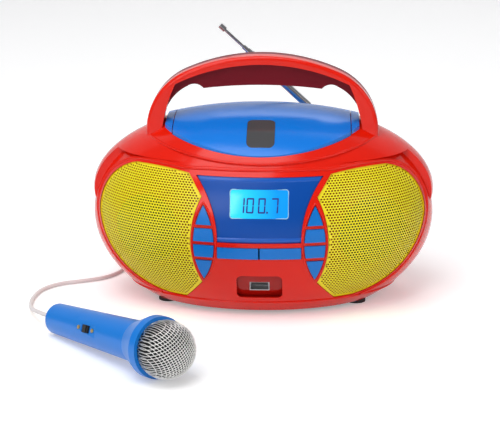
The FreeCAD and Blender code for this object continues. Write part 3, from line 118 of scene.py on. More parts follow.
def arcRun(start, end, bulge, steps):
    # points from start towards end on an arc that stands bulge to the right of the way, end left out
    start, end = np.array(start), np.array(end)
    t = np.linspace(0, 1, steps, endpoint=False)[:, None]
    chord = end - start
    length = np.linalg.norm(chord)
    if bulge == 0:
        return start + chord * t
    radius = length ** 2 / 8 / abs(bulge) + abs(bulge) / 2
    half = math.asin(length / 2 / radius)
    side = np.array([chord[1], -chord[0]]) / length * np.sign(bulge)
    centre = (start + end) / 2 - side * math.sqrt(max(radius ** 2 - length ** 2 / 4, 0))
    angle = -half + 2 * half * t
    return centre + radius * (np.cos(angle) * side + np.sin(angle) * chord / length)


def outlineOf(corners, spacing):
    # closed outline through (x, z, bulge of the next side), in metres
    runs = []
    for (x, z, bulge), (nextX, nextZ, _) in zip(corners, corners[1:] + corners[:1]):
        steps = max(2, int(math.hypot(nextX - x, nextZ - z) / spacing))
        runs.append(arcRun((x, z), (nextX, nextZ), bulge, steps))
    return np.concatenate(runs)


def distanceIn(points, outline):
    # signed distance to a closed outline, positive inside, and the nearest point on it
    level = 1e-12
    best = np.full(len(points), np.inf)
    nearest = np.zeros_like(points)
    crossings = np.zeros(len(points), int)
    for start, end in zip(outline, np.roll(outline, -1, axis=0)):
        run = end - start
        t = np.clip(((points - start) @ run) / (run @ run), 0, 1)
        foot = start + t[:, None] * run
        gap = np.linalg.norm(points - foot, axis=1)
        closer = gap < best
        best = np.where(closer, gap, best)
        nearest[closer] = foot[closer]
        spans = (start[1] > points[:, 1]) != (end[1] > points[:, 1])
        rise = run[1] if abs(run[1]) > level else level
        xCross = start[0] + (points[:, 1] - start[1]) * run[0] / rise
        crossings += spans & (points[:, 0] < xCross)
    return np.where(crossings % 2 == 1, best, -best), nearest


# Shader helpers
def newGroup(name, inputs, outputs):
    # an empty shader group with its sockets
    tree = bpy.data.node_groups.new(name, "ShaderNodeTree")
    for label, kind, default in inputs:
        socket = tree.interface.new_socket(label, in_out="INPUT", socket_type=kind)
        socket.default_value = default
    for label, kind in outputs:
        tree.interface.new_socket(label, in_out="OUTPUT", socket_type=kind)
    return tree, tree.nodes.new("NodeGroupInput"), tree.nodes.new("NodeGroupOutput")


def mathNode(tree, operation, first, second=None):
    # one Math node fed by numbers or sockets
    node = tree.nodes.new("ShaderNodeMath")
    node.operation = operation
    for socket, item in zip(node.inputs, (first, second)):
        if item is None:
            continue
        if isinstance(item, (int, float)):
            socket.default_value = item
        else:
            tree.links.new(item, socket)
    return node.outputs[0]


# Moulded grain: fine noise for the bump and slow noise that shifts roughness and colour a little
grainLook = {"scale": 900.0, "fineDetail": 3, "slowScale": 35, "slowDetail": 4, "roughness": 0.3,
             "spread": 0.08, "shade": 0.12, "shadeTo": 0.55, "bump": 0.05, "bumpDepth": 0.0002}


def makeGrainGroup(look):
    tree, given, out = newGroup(
        "mouldedGrain",
        [("Scale", "NodeSocketFloat", look["scale"]),
         ("Base Roughness", "NodeSocketFloat", look["roughness"]),
         ("Spread", "NodeSocketFloat", look["spread"]), ("Color", "NodeSocketColor", (1, 1, 1, 1)),
         ("Shade", "NodeSocketFloat", look["shade"])],
        [("Height", "NodeSocketFloat"), ("Roughness", "NodeSocketFloat"), ("Color", "NodeSocketColor")])
    coords = tree.nodes.new("ShaderNodeTexCoord")
    fine = tree.nodes.new("ShaderNodeTexNoise")
    fine.inputs["Detail"].default_value = look["fineDetail"]
    tree.links.new(coords.outputs["Object"], fine.inputs["Vector"])
    tree.links.new(given.outputs["Scale"], fine.inputs["Scale"])
    slow = tree.nodes.new("ShaderNodeTexNoise")
    slow.inputs["Scale"].default_value = look["slowScale"]
    slow.inputs["Detail"].default_value = look["slowDetail"]
    tree.links.new(coords.outputs["Object"], slow.inputs["Vector"])
    centred = mathNode(tree, "SUBTRACT", slow.outputs["Fac"], 0.5)
    rough = mathNode(tree, "ADD", given.outputs["Base Roughness"],
                     mathNode(tree, "MULTIPLY", centred, given.outputs["Spread"]))
    darker = tree.nodes.new("ShaderNodeMix")
    darker.data_type = "RGBA"
    darker.blend_type = "MULTIPLY"
    tree.links.new(given.outputs["Color"], darker.inputs[6])
    darker.inputs[7].default_value = (look["shadeTo"], look["shadeTo"], look["shadeTo"], 1)
    tree.links.new(mathNode(tree, "MULTIPLY", slow.outputs["Fac"], given.outputs["Shade"]), darker.inputs[0])
    tree.links.new(fine.outputs["Fac"], out.inputs["Height"])
    tree.links.new(rough, out.inputs["Roughness"])
    tree.links.new(darker.outputs[2], out.inputs["Color"])
    return tree


grainGroup = makeGrainGroup(grainLook)


# Painted shade by depth under the case's skin: the length of the shares of the half axes is 1 on the skin and
# falls inwards, and the colour darkens as it falls, standing in for the shade in recesses and pockets
skinShadeRamp = {"start": 0.990, "full": 0.972, "middleHalf": 0.036}


def makePaintedShadeGroup(look):
    tree, _, out = newGroup("paintedShadeUnderSkin", [], [("Painted Shade", "NodeSocketFloat"), ("Outer", "NodeSocketFloat")])
    coords = tree.nodes.new("ShaderNodeTexCoord")
    shift = tree.nodes.new("ShaderNodeVectorMath")
    shift.operation = "SUBTRACT"
    shift.inputs[1].default_value = hull["mid"]
    share = tree.nodes.new("ShaderNodeVectorMath")
    share.operation = "DIVIDE"
    share.inputs[1].default_value = hull["half"]
    length = tree.nodes.new("ShaderNodeVectorMath")
    length.operation = "LENGTH"
    tree.links.new(coords.outputs["Object"], shift.inputs[0])
    tree.links.new(shift.outputs[0], share.inputs[0])
    tree.links.new(share.outputs[0], length.inputs[0])
    ramp = tree.nodes.new("ShaderNodeMapRange")
    ramp.inputs["From Min"].default_value = look["start"]
    ramp.inputs["From Max"].default_value = look["full"]
    tree.links.new(length.outputs["Value"], ramp.inputs["Value"])
    tree.links.new(ramp.outputs[0], out.inputs["Painted Shade"])
    split = tree.nodes.new("ShaderNodeSeparateXYZ")
    tree.links.new(coords.outputs["Object"], split.inputs[0])
    side = mathNode(tree, "ABSOLUTE", split.outputs["X"])
    tree.links.new(mathNode(tree, "GREATER_THAN", side, look["middleHalf"]), out.inputs["Outer"])
    return tree


paintedShadeGroup = makePaintedShadeGroup(skinShadeRamp)


def makeFinish(name, look):
    # one Principled material fed by the grain group, with painted shade (a darker colour under the skin, in
    # recesses and pockets) where a sunk shade colour is given
    material = bpy.data.materials.new(name)
    material.use_nodes = True
    tree = material.node_tree
    shader = tree.nodes["Principled BSDF"]
    shader.inputs["Metallic"].default_value = look.get("metallic", 0.0)
    shader.inputs["Specular IOR Level"].default_value = look.get("specular", 0.5)
    shader.inputs["Transmission Weight"].default_value = look.get("transmission", 0.0)
    grain = tree.nodes.new("ShaderNodeGroup")
    grain.node_tree = grainGroup
    grain.inputs["Scale"].default_value = look.get("grainScale", grainLook["scale"])
    grain.inputs["Base Roughness"].default_value = look["roughness"]
    grain.inputs["Color"].default_value = (*look["color"], 1)
    grain.inputs["Shade"].default_value = look.get("shade", grainLook["shade"])
    bump = tree.nodes.new("ShaderNodeBump")
    bump.inputs["Strength"].default_value = look.get("bump", grainLook["bump"])
    bump.inputs["Distance"].default_value = grainLook["bumpDepth"]
    tree.links.new(grain.outputs["Height"], bump.inputs["Height"])
    tree.links.new(bump.outputs["Normal"], shader.inputs["Normal"])
    tree.links.new(grain.outputs["Roughness"], shader.inputs["Roughness"])
    color = grain.outputs["Color"]
    # painted shade in recesses: the sunk shade colour in the middle, the pocket shade colour at the sides
    if "sunkShade" in look:
        depth = tree.nodes.new("ShaderNodeGroup")
        depth.node_tree = paintedShadeGroup
        paintedShadeTone = tree.nodes.new("ShaderNodeMix")
        paintedShadeTone.data_type = "RGBA"
        paintedShadeTone.inputs[6].default_value = (*look["sunkShade"], 1)
        paintedShadeTone.inputs[7].default_value = (*look["pocket"], 1)
        tree.links.new(depth.outputs["Outer"], paintedShadeTone.inputs[0])
        mix = tree.nodes.new("ShaderNodeMix")
        mix.data_type = "RGBA"
        tree.links.new(paintedShadeTone.outputs[2], mix.inputs[7])
        tree.links.new(depth.outputs["Painted Shade"], mix.inputs[0])
        tree.links.new(color, mix.inputs[6])
        color = mix.outputs[2]
    tree.links.new(color, shader.inputs["Base Color"])
    return material


finishes = {
    # caseRed carries painted shade: darker red in the middle recesses and near black in the side pockets
    # under the skin
    "caseRed": {"color": (0.80, 0.012, 0.002), "roughness": 0.16, "specular": 0.30, "bump": 0.01,
                "sunkShade": (0.38, 0.006, 0.003), "pocket": (0.07, 0.006, 0.003)},
    # gripPaintedShadeRed is the case red darkened for the shade under the handle's grip: painted shade, with
    # a rougher, finer grain of its own
    "gripPaintedShadeRed": {"color": (0.21, 0.000, 0.010), "roughness": 0.42, "specular": 0.2, "bump": 0.10,
                "grainScale": 1400.0},
    "lidBlue": {"color": (0.001, 0.20, 0.76), "roughness": 0.24, "specular": 0.35, "bump": 0.01},
    # panelPaintedShadeBlue is the lid's blue darkened for the forward face of the display panel: painted
    # shade
    "panelPaintedShadeBlue": {"color": (0.000, 0.070, 0.38), "roughness": 0.30, "specular": 0.25, "bump": 0.02},
    "keyBlue": {"color": (0.000, 0.18, 0.62), "roughness": 0.30, "specular": 0.35, "bump": 0.03},
    "micBlue": {"color": (0.002, 0.20, 0.70), "roughness": 0.30, "specular": 0.4, "bump": 0.04,
                "grainScale": 1600.0},
    "grilleYellow": {"color": (0.96, 0.82, 0.012), "roughness": 0.38, "bump": 0.03},
    "smokyGlass": {"color": (0.10, 0.10, 0.105), "roughness": 0.10, "transmission": 0.3, "shade": 0.0,
                   "bump": 0.0},
    "blackPlastic": {"color": (0.014, 0.014, 0.015), "roughness": 0.45, "bump": 0.12},
    "blackRubber": {"color": (0.02, 0.02, 0.021), "roughness": 0.75, "bump": 0.2},
    "conePaper": {"color": (0.035, 0.033, 0.032), "roughness": 0.85, "bump": 0.3, "grainScale": 500.0},
    "plainSteel": {"color": (0.55, 0.55, 0.56), "roughness": 0.32, "metallic": 1.0, "bump": 0.05},
    "bentChrome": {"color": (0.55, 0.55, 0.56), "roughness": 0.10, "metallic": 1.0, "bump": 0.01},
    "meshSilver": {"color": (0.92, 0.91, 0.89), "roughness": 0.36, "metallic": 1.0, "bump": 0.03},
    "foamDark": {"color": (0.012, 0.012, 0.013), "roughness": 0.9, "bump": 0.4, "grainScale": 400.0},
    "screwBrass": {"color": (0.72, 0.50, 0.20), "roughness": 0.3, "metallic": 1.0, "bump": 0.05},
    "boardGreen": {"color": (0.02, 0.13, 0.05), "roughness": 0.5, "bump": 0.1},
    "cordJacket": {"color": (0.80, 0.75, 0.75), "roughness": 0.42, "bump": 0.06},
    "lensPale": {"color": (0.35, 0.62, 0.78), "roughness": 0.4, "bump": 0.0},
    # ledgePaintedHighlightBlue is the panel's blue lightened on its ledges, which face up to the lamps:
    # painted highlight
    "ledgePaintedHighlightBlue": {"color": (0.004, 0.10, 0.50), "roughness": 0.3, "bump": 0.03},
    "digitInk": {"color": (0.004, 0.02, 0.26), "roughness": 0.5, "bump": 0.0},
}
materials = {name: makeFinish(name, look) for name, look in finishes.items()}


# Display: cyan with a faint glow, brighter towards the left edge
displayLook = {"left": (0.02, 0.72, 0.95), "right": (0.0, 0.30, 0.85), "glow": 0.22, "roughness": 0.15,
               "fromX": -0.019, "toX": 0.012}


def makeDisplayGlow(look):
    # colour and glow mixed from left to right by X
    plain = {"color": look["right"], "roughness": look["roughness"], "bump": 0.0}
    material = makeFinish("displayGlow", plain)
    tree = material.node_tree
    shader = tree.nodes["Principled BSDF"]
    coords = tree.nodes.new("ShaderNodeTexCoord")
    split = tree.nodes.new("ShaderNodeSeparateXYZ")
    ramp = tree.nodes.new("ShaderNodeMapRange")
    ramp.inputs["From Min"].default_value = look["fromX"]
    ramp.inputs["From Max"].default_value = look["toX"]
    mix = tree.nodes.new("ShaderNodeMix")
    mix.data_type = "RGBA"
    mix.inputs[6].default_value = (*look["left"], 1)
    mix.inputs[7].default_value = (*look["right"], 1)
    tree.links.new(coords.outputs["Object"], split.inputs[0])
    tree.links.new(split.outputs["X"], ramp.inputs["Value"])
    tree.links.new(ramp.outputs[0], mix.inputs[0])
    tree.links.new(mix.outputs[2], shader.inputs["Base Color"])
    tree.links.new(mix.outputs[2], shader.inputs["Emission Color"])
    shader.inputs["Emission Strength"].default_value = look["glow"]
    return material


materials["displayGlow"] = makeDisplayGlow(displayLook)

sides = ("left", "right")
keyNames = [f"{side}_key_{n}" for side in sides for n in (1, 2, 3, 4)]
keyNames += [f"{side}_wide_key" for side in sides]
nodeFinish = {
    "caseRed": ["front_cabinet", "upper_shell", "lower_shell", "handle_front"],
    # the handle's rear takes the darkened red, a painted shade
    "gripPaintedShadeRed": ["handle_rear"],
    "lidBlue": ["cd_lid", "lid_cheeks"],
    "panelPaintedShadeBlue": ["display_panel"],
    "keyBlue": keyNames,
    "micBlue": ["mic_body", "mic_collar", "mic_switch_plate"],
    "displayGlow": ["display_lens"],
    "smokyGlass": ["lid_window"],
    "blackRubber": ["feet"],
    "blackPlastic": ["cd_deck", "battery_bay", "battery_door", "mains_inlet", "mic_jack", "pickup_sled",
                     "spindle_hub", "mic_slider", "usb_tongue", "display_module"],
    "conePaper": ["left_speaker_cone", "right_speaker_cone"],
    "plainSteel": ["left_speaker_frame", "right_speaker_frame", "usb_socket", "hinge_pins", "guide_rods",
                   "spindle_motor", "battery_contacts", "transformer"],
    "bentChrome": ["antenna_turret", "antenna_tube_1", "antenna_tube_2", "antenna_tube_3", "antenna_mast"],
    "screwBrass": ["mic_screws"],
    "boardGreen": ["main_board", "key_board"],
    "cordJacket": ["mic_gland", "mic_plug"],
}
for finish, names in nodeFinish.items():
    for nodeName in names:
        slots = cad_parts[nodeName].data.materials
        slots.clear()
        slots.append(materials[finish])
print("finishes set on", sum(len(names) for names in nodeFinish.values()), "nodes")

# Camera, where the photograph was taken from
view = {"elevation": 15.0, "yaw": 2.0, "distance": 1.2, "target": (0, 0, 0.06), "focalPixels": 1692.0,
        "targetPixel": (263, 210), "imageSize": (500, 443), "sensor": 36}


def addCamera(view):
    # looks along the elevation and yaw, with the target at its own pixel
    up, turn = math.radians(view["elevation"]), math.radians(view["yaw"])
    forward = Vector((-math.sin(turn) * math.cos(up), math.cos(turn) * math.cos(up), -math.sin(up)))
    width, height = view["imageSize"]
    data = bpy.data.cameras.new("camera")
    data.sensor_width = view["sensor"]
    data.lens = view["focalPixels"] / width * data.sensor_width
    data.shift_x = (width / 2 - view["targetPixel"][0]) / width
    data.shift_y = (view["targetPixel"][1] - height / 2) / width
    camera = bpy.data.objects.new("camera", data)
    camera.location = Vector(view["target"]) - forward * view["distance"]
    camera.rotation_euler = forward.to_track_quat("-Z", "Y").to_euler()
    bpy.context.scene.collection.objects.link(camera)
    bpy.context.scene.camera = camera


addCamera(view)

# Pale floor that rises into a backdrop, and soft studio lamps
studio = {"paper": (0.92, 0.92, 0.92), "paperRoughness": 0.9, "paperLift": 0.30, "paperReach": 6.0,
          "worldColor": (0.26, 0.26, 0.27), "bendY": 2.2, "bendRadius": 0.8, "bendSteps": 16,
          "lamps": [("topLamp", (-0.35, -0.65, 1.65), 1.3, 19.0), ("frontLamp", (-0.9, -1.9, 0.9), 0.9, 11.0),
                    ("sideLamp", (1.5, -0.9, 0.7), 0.8, 4.0), ("backLamp", (0.2, 1.4, 1.7), 1.2, 8.0)]}


def addPaper(studio):
    # a strip that lies flat, bends up on a quarter circle and stands
    bend = np.linspace(0, math.pi / 2, studio["bendSteps"])
    reach, radius = studio["paperReach"], studio["bendRadius"]
    y = np.concatenate([[-reach], studio["bendY"] + radius * np.sin(bend), [studio["bendY"] + radius]])
    z = np.concatenate([[0.0], radius * (1 - np.cos(bend)), [reach]])
    x = np.array([-reach, reach])
    points = np.stack([np.repeat(x[:, None], len(y), 1), np.tile(y, (2, 1)), np.tile(z, (2, 1))], axis=-1)
    mesh = bpy.data.meshes.new("paper")
    mesh.from_pydata(points.reshape(-1, 3).tolist(), [], gridQuads(2, len(y))[:, ::-1].tolist())
    mesh.polygons.foreach_set("use_smooth", np.full(len(mesh.polygons), True))
    paper = bpy.data.objects.new("paper", mesh)
    bpy.context.scene.collection.objects.link(paper)
    material = bpy.data.materials.new("paper")
    material.use_nodes = True
    tree = material.node_tree
    shader = tree.nodes["Principled BSDF"]
    shader.inputs["Base Color"].default_value = (*studio["paper"], 1)
    shader.inputs["Roughness"].default_value = studio["paperRoughness"]
    shader.inputs["Specular IOR Level"].default_value = 0.0
    shader.inputs["Emission Color"].default_value = (1, 1, 1, 1)
    path = tree.nodes.new("ShaderNodeLightPath")
    seen = mathNode(tree, "MAXIMUM", path.outputs["Is Camera Ray"], path.outputs["Is Glossy Ray"])
    seen = mathNode(tree, "MAXIMUM", seen, path.outputs["Is Transmission Ray"])
    tree.links.new(mathNode(tree, "MULTIPLY", seen, studio["paperLift"]), shader.inputs["Emission Strength"])
    mesh.materials.append(material)


def addStudio(studio):
    # paper, world colour and square lamps that face the object
    addPaper(studio)
    world = bpy.data.worlds.new("studio")
    bpy.context.scene.world = world
    world.use_nodes = True
    world.node_tree.nodes["Background"].inputs["Color"].default_value = (*studio["worldColor"], 1)
    for name, place, size, power in studio["lamps"]:
        data = bpy.data.lights.new(name, "AREA")
        data.size = size
        data.energy = power
        lamp = bpy.data.objects.new(name, data)
        lamp.location = place
        aim = Vector(view["target"]) - Vector(place)
        lamp.rotation_euler = aim.to_track_quat("-Z", "Y").to_euler()
        bpy.context.scene.collection.objects.link(lamp)


addStudio(studio)
bpy.context.scene.view_settings.view_transform = "Standard"
print("camera and studio ready")

# Microphone, which lies along its own X axis from the tail
mic = {"tail": (-0.1336, -0.0965, 0.01015), "yaw": -47.6, "pitch": -5.05, "roll": 72.0, "glandLength": 0.004,
       "ballX": 0.1206, "ballRadius": 0.0180, "openX": -0.0075, "wirePitch": 0.00165, "wireRadius": 0.00026,
       "weave": 0.00020, "wireSlant": 45, "wireSteps": 72, "wireSides": 6, "foamGap": 0.0004,
       "foamAround": 48, "foamDown": 24, "foamPole": 0.02}
micPlace = (Matrix.Translation(mic["tail"]) @ Matrix.Rotation(math.radians(mic["yaw"]), 4, "Z")
            @ Matrix.Rotation(math.radians(mic["pitch"]), 4, "Y")
            @ Matrix.Rotation(math.radians(mic["roll"]), 4, "X"))


def laidOut(points):
    # points of the microphone's own frame, moved to where it lies
    place = np.array(micPlace)
    return np.asarray(points) @ place[:3, :3].T + place[:3, 3]


# Cord: the route's points as the control points of one smooth spline, with the coil's turns in the middle
cordLook = {"diameter": 0.003, "coilGap": 0.00045, "coilMidRadius": 0.0176, "halfTurns": 7, "coilY": 0.152,
            "pointsPerHalf": 9, "jackX": -0.060, "plugEnd": (-0.060, 0.097, 0.036), "lift": 0.0001,
            "straightRun": 0.010, "length": 1.15}
leadRoute = [(-0.1494, -0.078, 0.0084), (-0.156, -0.064, 0.0052), (-0.1602, -0.046, 0.0027),
             (-0.1616, -0.026, 0.0017), (-0.1586, -0.007, 0.0016), (-0.148, 0.007, 0.0016),
             (-0.131, 0.014, 0.0016), (-0.115, 0.023, 0.0016), (-0.1055, 0.040, 0.0016),
             (-0.102, 0.062, 0.0016), (-0.1026, 0.086, 0.0016), (-0.105, 0.109, 0.0016),
             (-0.10728, 0.130, 0.0016)]
tailRoute = [(-0.060, 0.106, 0.0356), (-0.0605, 0.1156, 0.0304), (-0.060, 0.124, 0.021),
             (-0.0604, 0.1314, 0.0116), (-0.060, 0.140, 0.00505)]


def coilTurns(look):
    # half turns that spiral in on the table, climb a layer and spiral out again, as points on their arcs
    pitch = look["diameter"] + look["coilGap"]
    turns = look["halfTurns"]
    outer = look["coilMidRadius"] + turns * pitch / 4
    radii = [outer - k * pitch / 2 for k in range(turns + 2)]
    radii += [radii[-2] + (k + 1) * pitch / 2 for k in range(turns)]
    low = look["diameter"] / 2 + look["lift"]
    middle = np.array([look["jackX"] - outer, look["coilY"]])
    ends = [(middle[0] + (-r if k % 2 == 0 else r), low if k <= turns else low + pitch)
            for k, r in enumerate(radii)]
    points = []
    perHalf = look["pointsPerHalf"]
    for k, ((x0, z0), (x1, z1)) in enumerate(zip(ends, ends[1:])):
        centre, reach = (x0 + x1) / 2, abs(x1 - x0) / 2
        side = 1 if k % 2 == 0 else -1
        t = np.arange(perHalf) / perHalf
        angle = math.pi * t
        x = centre - side * reach * np.cos(angle)
        y = middle[1] + side * reach * np.sin(angle)
        points.append(np.stack([x, y, z0 + (z1 - z0) * t], axis=-1))
    points.append(np.array([[ends[-1][0], middle[1], ends[-1][1]]]))
    return np.concatenate(points)


def addCord(look):
    # a round bevel along the spline from the gland over the lead, coil and tail to the plug
    nose = laidOut([(-mic["glandLength"], 0, 0)])[0]
    out = laidOut([(-mic["glandLength"] - look["straightRun"], 0, 0)])[0]
    tail = np.array(tailRoute[::-1])
    points = np.concatenate([[nose, out], leadRoute, coilTurns(look), tail, [look["plugEnd"]]])
    curve = bpy.data.curves.new("micCord", "CURVE")
    curve.dimensions = "3D"
    curve.bevel_depth = look["diameter"] / 2
    curve.bevel_resolution = 3
    curve.resolution_u = 4
    curve.use_fill_caps = True
    spline = curve.splines.new("NURBS")
    spline.points.add(len(points) - 1)
    spline.points.foreach_set("co", np.concatenate([points, np.ones((len(points), 1))], axis=1).ravel())
    spline.order_u = 3
    spline.use_endpoint_u = True
    curve.materials.append(materials["cordJacket"])
    cord = bpy.data.objects.new("micCord", curve)
    bpy.context.scene.collection.objects.link(cord)
    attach(cord, "case")
    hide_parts("cord_lead", "cord_coil", "cord_tail")
    runs = np.linalg.norm(np.diff(points, axis=0), axis=1).sum()
    print(f"cord runs {runs:.3f} m")
    return cord, nose


tieLook = {"width": 0.005, "thick": 0.00035, "reach": 0.0026, "lift": 0.0001, "rounding": 0.35, "steps": 32}


def addTie(look, band):
    # a soft band round both layers of the coil's turns: a rectangle rounded by powers of cosine and sine
    pitch = look["diameter"] + look["coilGap"]
    outer = look["coilMidRadius"] + look["halfTurns"] * pitch / 4
    inner = outer - (look["halfTurns"] + 1) * pitch / 2
    middleX, half, thick = look["jackX"] - outer, band["width"] / 2, band["thick"]
    angle = np.linspace(0, 2 * math.pi, band["steps"], endpoint=False)
    acrossHalf = (outer - inner) / 2 + band["reach"]
    upHalf = (pitch + look["diameter"]) / 2 - band["lift"]
    across = np.sign(np.cos(angle)) * np.abs(np.cos(angle)) ** band["rounding"] * acrossHalf
    up = np.sign(np.sin(angle)) * np.abs(np.sin(angle)) ** band["rounding"] * upHalf
    y = look["coilY"] + (outer + inner) / 2 + across
    z = upHalf + band["lift"] + up
    path = np.stack([np.full_like(y, middleX), y, z], axis=-1)
    out = np.stack([np.zeros_like(y), y - y.mean(), z - z.mean()], axis=-1)
    profile = [(-half, 0), (-half, thick), (half, thick), (half, 0)]
    points = sweep(path, out, profile, True)
    faces = gridQuads(len(path), len(profile), True, True)
    return addPiece("cordTie", points, faces, materials["blackRubber"], "case")


cord, cordExit = addCord(cordLook)
tie = addTie(cordLook, tieLook)
print("cord laid")


# Ball grille: two families of wires, the circles where even planes cut the ball, waving over and under
def addMicMesh(mic):
    radius, pitch = mic["ballRadius"], mic["wirePitch"]
    count = int(radius / pitch)
    offsets = np.arange(-count, count + 1) * pitch
    steps, sidesCount = mic["wireSteps"], mic["wireSides"]
    slant = math.radians(mic["wireSlant"])
    families = []
    for sign in (1, -1):
        axis = np.array([0, math.cos(slant), sign * math.sin(slant)])
        ahead = np.array([1.0, 0, 0])
        third = np.cross(axis, ahead)
        ringRadius = np.sqrt(np.maximum(radius ** 2 - offsets ** 2, 1e-9))
        limit = np.arccos(np.clip(mic["openX"] / ringRadius, -1, 1))
        angle = np.linspace(-1, 1, steps)[None, :] * limit[:, None]
        across = ringRadius[:, None] * np.sin(angle)
        parity = (np.arange(len(offsets)) + (0 if sign == 1 else 1)) % 2 * math.pi
        wave = mic["weave"] * np.cos(math.pi * across / pitch + parity[:, None])
        base = (offsets[:, None, None] * axis + (ringRadius[:, None] * np.cos(angle))[..., None] * ahead
                + across[..., None] * third)
        normal = base / np.linalg.norm(base, axis=-1, keepdims=True)
        path = base + normal * wave[..., None]
        direction = np.gradient(path, axis=1)
        direction /= np.linalg.norm(direction, axis=-1, keepdims=True)
        side = np.cross(direction, normal)
        turn = np.linspace(0, 2 * math.pi, sidesCount, endpoint=False)
        ring = (side[:, :, None, :] * np.cos(turn)[None, None, :, None]
                + normal[:, :, None, :] * np.sin(turn)[None, None, :, None]) * mic["wireRadius"]
        families.append(path[:, :, None, :] + ring)
    wires = np.concatenate(families)
    one = gridQuads(steps, sidesCount, False, True)
    faces = (one[None] + (np.arange(len(wires)) * steps * sidesCount)[:, None, None]).reshape(-1, 4)
    points = laidOut(wires.reshape(-1, 3) + np.array([mic["ballX"], 0, 0]))
    mesh = addPiece("micMesh", points, faces, materials["meshSilver"], "microphone")
    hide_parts("mic_grille")
    return mesh


# Foam ball under the wires: a sphere by angle round and angle down
def addMicFoam(mic):
    count, rows = mic["foamAround"], mic["foamDown"]
    around = np.linspace(0, 2 * math.pi, count, endpoint=False)
    down = np.linspace(mic["foamPole"], math.pi - mic["foamPole"], rows)
    a, d = np.meshgrid(around, down, indexing="xy")
    radius = mic["ballRadius"] - mic["wireRadius"] - mic["weave"] - mic["foamGap"]
    ball = np.stack([-np.cos(d), np.sin(d) * np.cos(a), np.sin(d) * np.sin(a)], axis=-1) * radius
    points = laidOut(ball.reshape(-1, 3) + np.array([mic["ballX"], 0, 0]))
    faces = gridQuads(rows, count, False, True).tolist()
    caps = [list(range(count)), list(range((rows - 1) * count, rows * count))[::-1]]
    return addPiece("micFoam", points, faces + caps, materials["foamDark"], "microphone")


addMicMesh(mic)
addMicFoam(mic)
print("microphone dressed")

# Speaker grilles: a sheet of six-sided cells with round holes, laid on the case's curve inside the outline
grille = {"pitch": 0.00212, "holeRadius": 0.00074, "closedRadius": 0.00012, "sides": 12, "sink": 0.0010,
          "thick": 0.0008, "edgeMargin": 0.0001, "spacing": 0.0015, "levelZ": 0.060, "uprightX": -0.070,
          "measures": 400, "rimWidth": 0.0006, "rimShares": (0.0, 0.08, 0.4, 0.8, 1.0),
          "rimSinks": (0.0008, -0.0001, -0.0002, -0.0001, 0.0002),
          "corners": [(-0.0475, 0.101, 0.0013), (-0.085, 0.1026, 0.0077), (-0.113, 0.0668, 0.0123),
                      (-0.0625, 0.013, 0), (-0.0505, 0.0126, 0), (-0.0388, 0.027, -0.0076),
                      (-0.0386, 0.0873, 0)]}


def evenSteps(low, high, slope, count):
    # surface distance along a line of the case, and the coordinate it belongs to
    place = np.linspace(low, high, count)
    distance = np.concatenate([[0], np.cumsum(np.hypot(np.diff(place), np.diff(slope(place))))])
    return distance, place


def grilleCells(look):
    # hexagon centres in rows by surface distance, each with an outer ring and both edges of its hole
    outline = outlineOf(look["corners"], look["spacing"])
    lowX, lowZ = outline.min(0)
    highX, highZ = outline.max(0)
    sink, measures = look["sink"], look["measures"]
    runX, placeX = evenSteps(lowX, highX, lambda x: frontOf(x, look["levelZ"], sink), measures)
    runZ, placeZ = evenSteps(lowZ, highZ, lambda z: frontOf(look["uprightX"], z, sink), measures)
    rowStep = look["pitch"] * math.sqrt(3) / 2
    rows, cols = int(runZ[-1] / rowStep) + 2, int(runX[-1] / look["pitch"]) + 2
    row, col = np.meshgrid(np.arange(rows), np.arange(cols), indexing="ij")
    centres = np.stack([(col + row % 2 / 2) * look["pitch"], row * rowStep], axis=-1).reshape(-1, 2)
    flatX = np.interp(centres[:, 0], runX, placeX)
    flatZ = np.interp(centres[:, 1], runZ, placeZ)
    inside, _ = distanceIn(np.stack([flatX, flatZ], axis=-1), outline)
    kept = inside > look["edgeMargin"]
    centres, deep = centres[kept], inside[kept]
    sideCount = look["sides"]
    turn = np.arange(sideCount) * math.pi / 6 + math.pi / 6
    cornerShare = np.where(np.arange(sideCount) % 2 == 0, 1, math.cos(math.pi / 6))
    reach = look["pitch"] / math.sqrt(3) * cornerShare
    ring = np.stack([np.cos(turn), np.sin(turn)], axis=-1)
    hole = np.where(deep > look["rimWidth"] + look["holeRadius"], look["holeRadius"], look["closedRadius"])
    outer = centres[:, None] + ring * reach[:, None]
    inner = centres[:, None] + ring[None] * hole[:, None, None]
    spread = np.stack([outer, inner, inner], axis=1)
    x = np.interp(spread[..., 0], runX, placeX)
    z = np.interp(spread[..., 1], runZ, placeZ)
    xz = np.stack([x, z], axis=-1).reshape(-1, 2)
    inside, nearest = distanceIn(xz, outline)
    xz = np.where((inside < 0)[:, None], nearest, xz).reshape(x.shape + (2,))
    y = frontOf(xz[..., 0], xz[..., 1], sink)
    y[:, 2] = frontOf(xz[:, 2, :, 0], xz[:, 2, :, 1], sink + look["thick"])
    points = np.stack([xz[..., 0], y, xz[..., 1]], axis=-1)
    perCell = 3 * sideCount
    one = gridQuads(3, sideCount, False, True)
    faces = (one[None] + (np.arange(len(centres)) * perCell)[:, None, None]).reshape(-1, 4)
    print("grilles:", len(centres), "cells a side")
    return points.reshape(-1, 3), faces, outline


def rimBand(outline, look):
    # a low rounded band just inside the outline
    centre = outline.mean(0)
    insets = np.array(look["rimShares"]) * look["rimWidth"]
    sinks = look["sink"] + np.array(look["rimSinks"])
    direction = alongPath(outline, True)
    inward = np.stack([-direction[:, 1], direction[:, 0]], axis=-1)
    inward *= np.sign(((centre - outline) * inward).sum(1).mean())
    xz = outline[:, None] + inward[:, None] * insets[None, :, None]
    y = np.stack([frontOf(xz[:, k, 0], xz[:, k, 1], sinks[k]) for k in range(len(insets))], axis=1)
    points = np.stack([xz[..., 0], y, xz[..., 1]], axis=-1)
    return points.reshape(-1, 3), gridQuads(len(outline), len(insets), True, False)


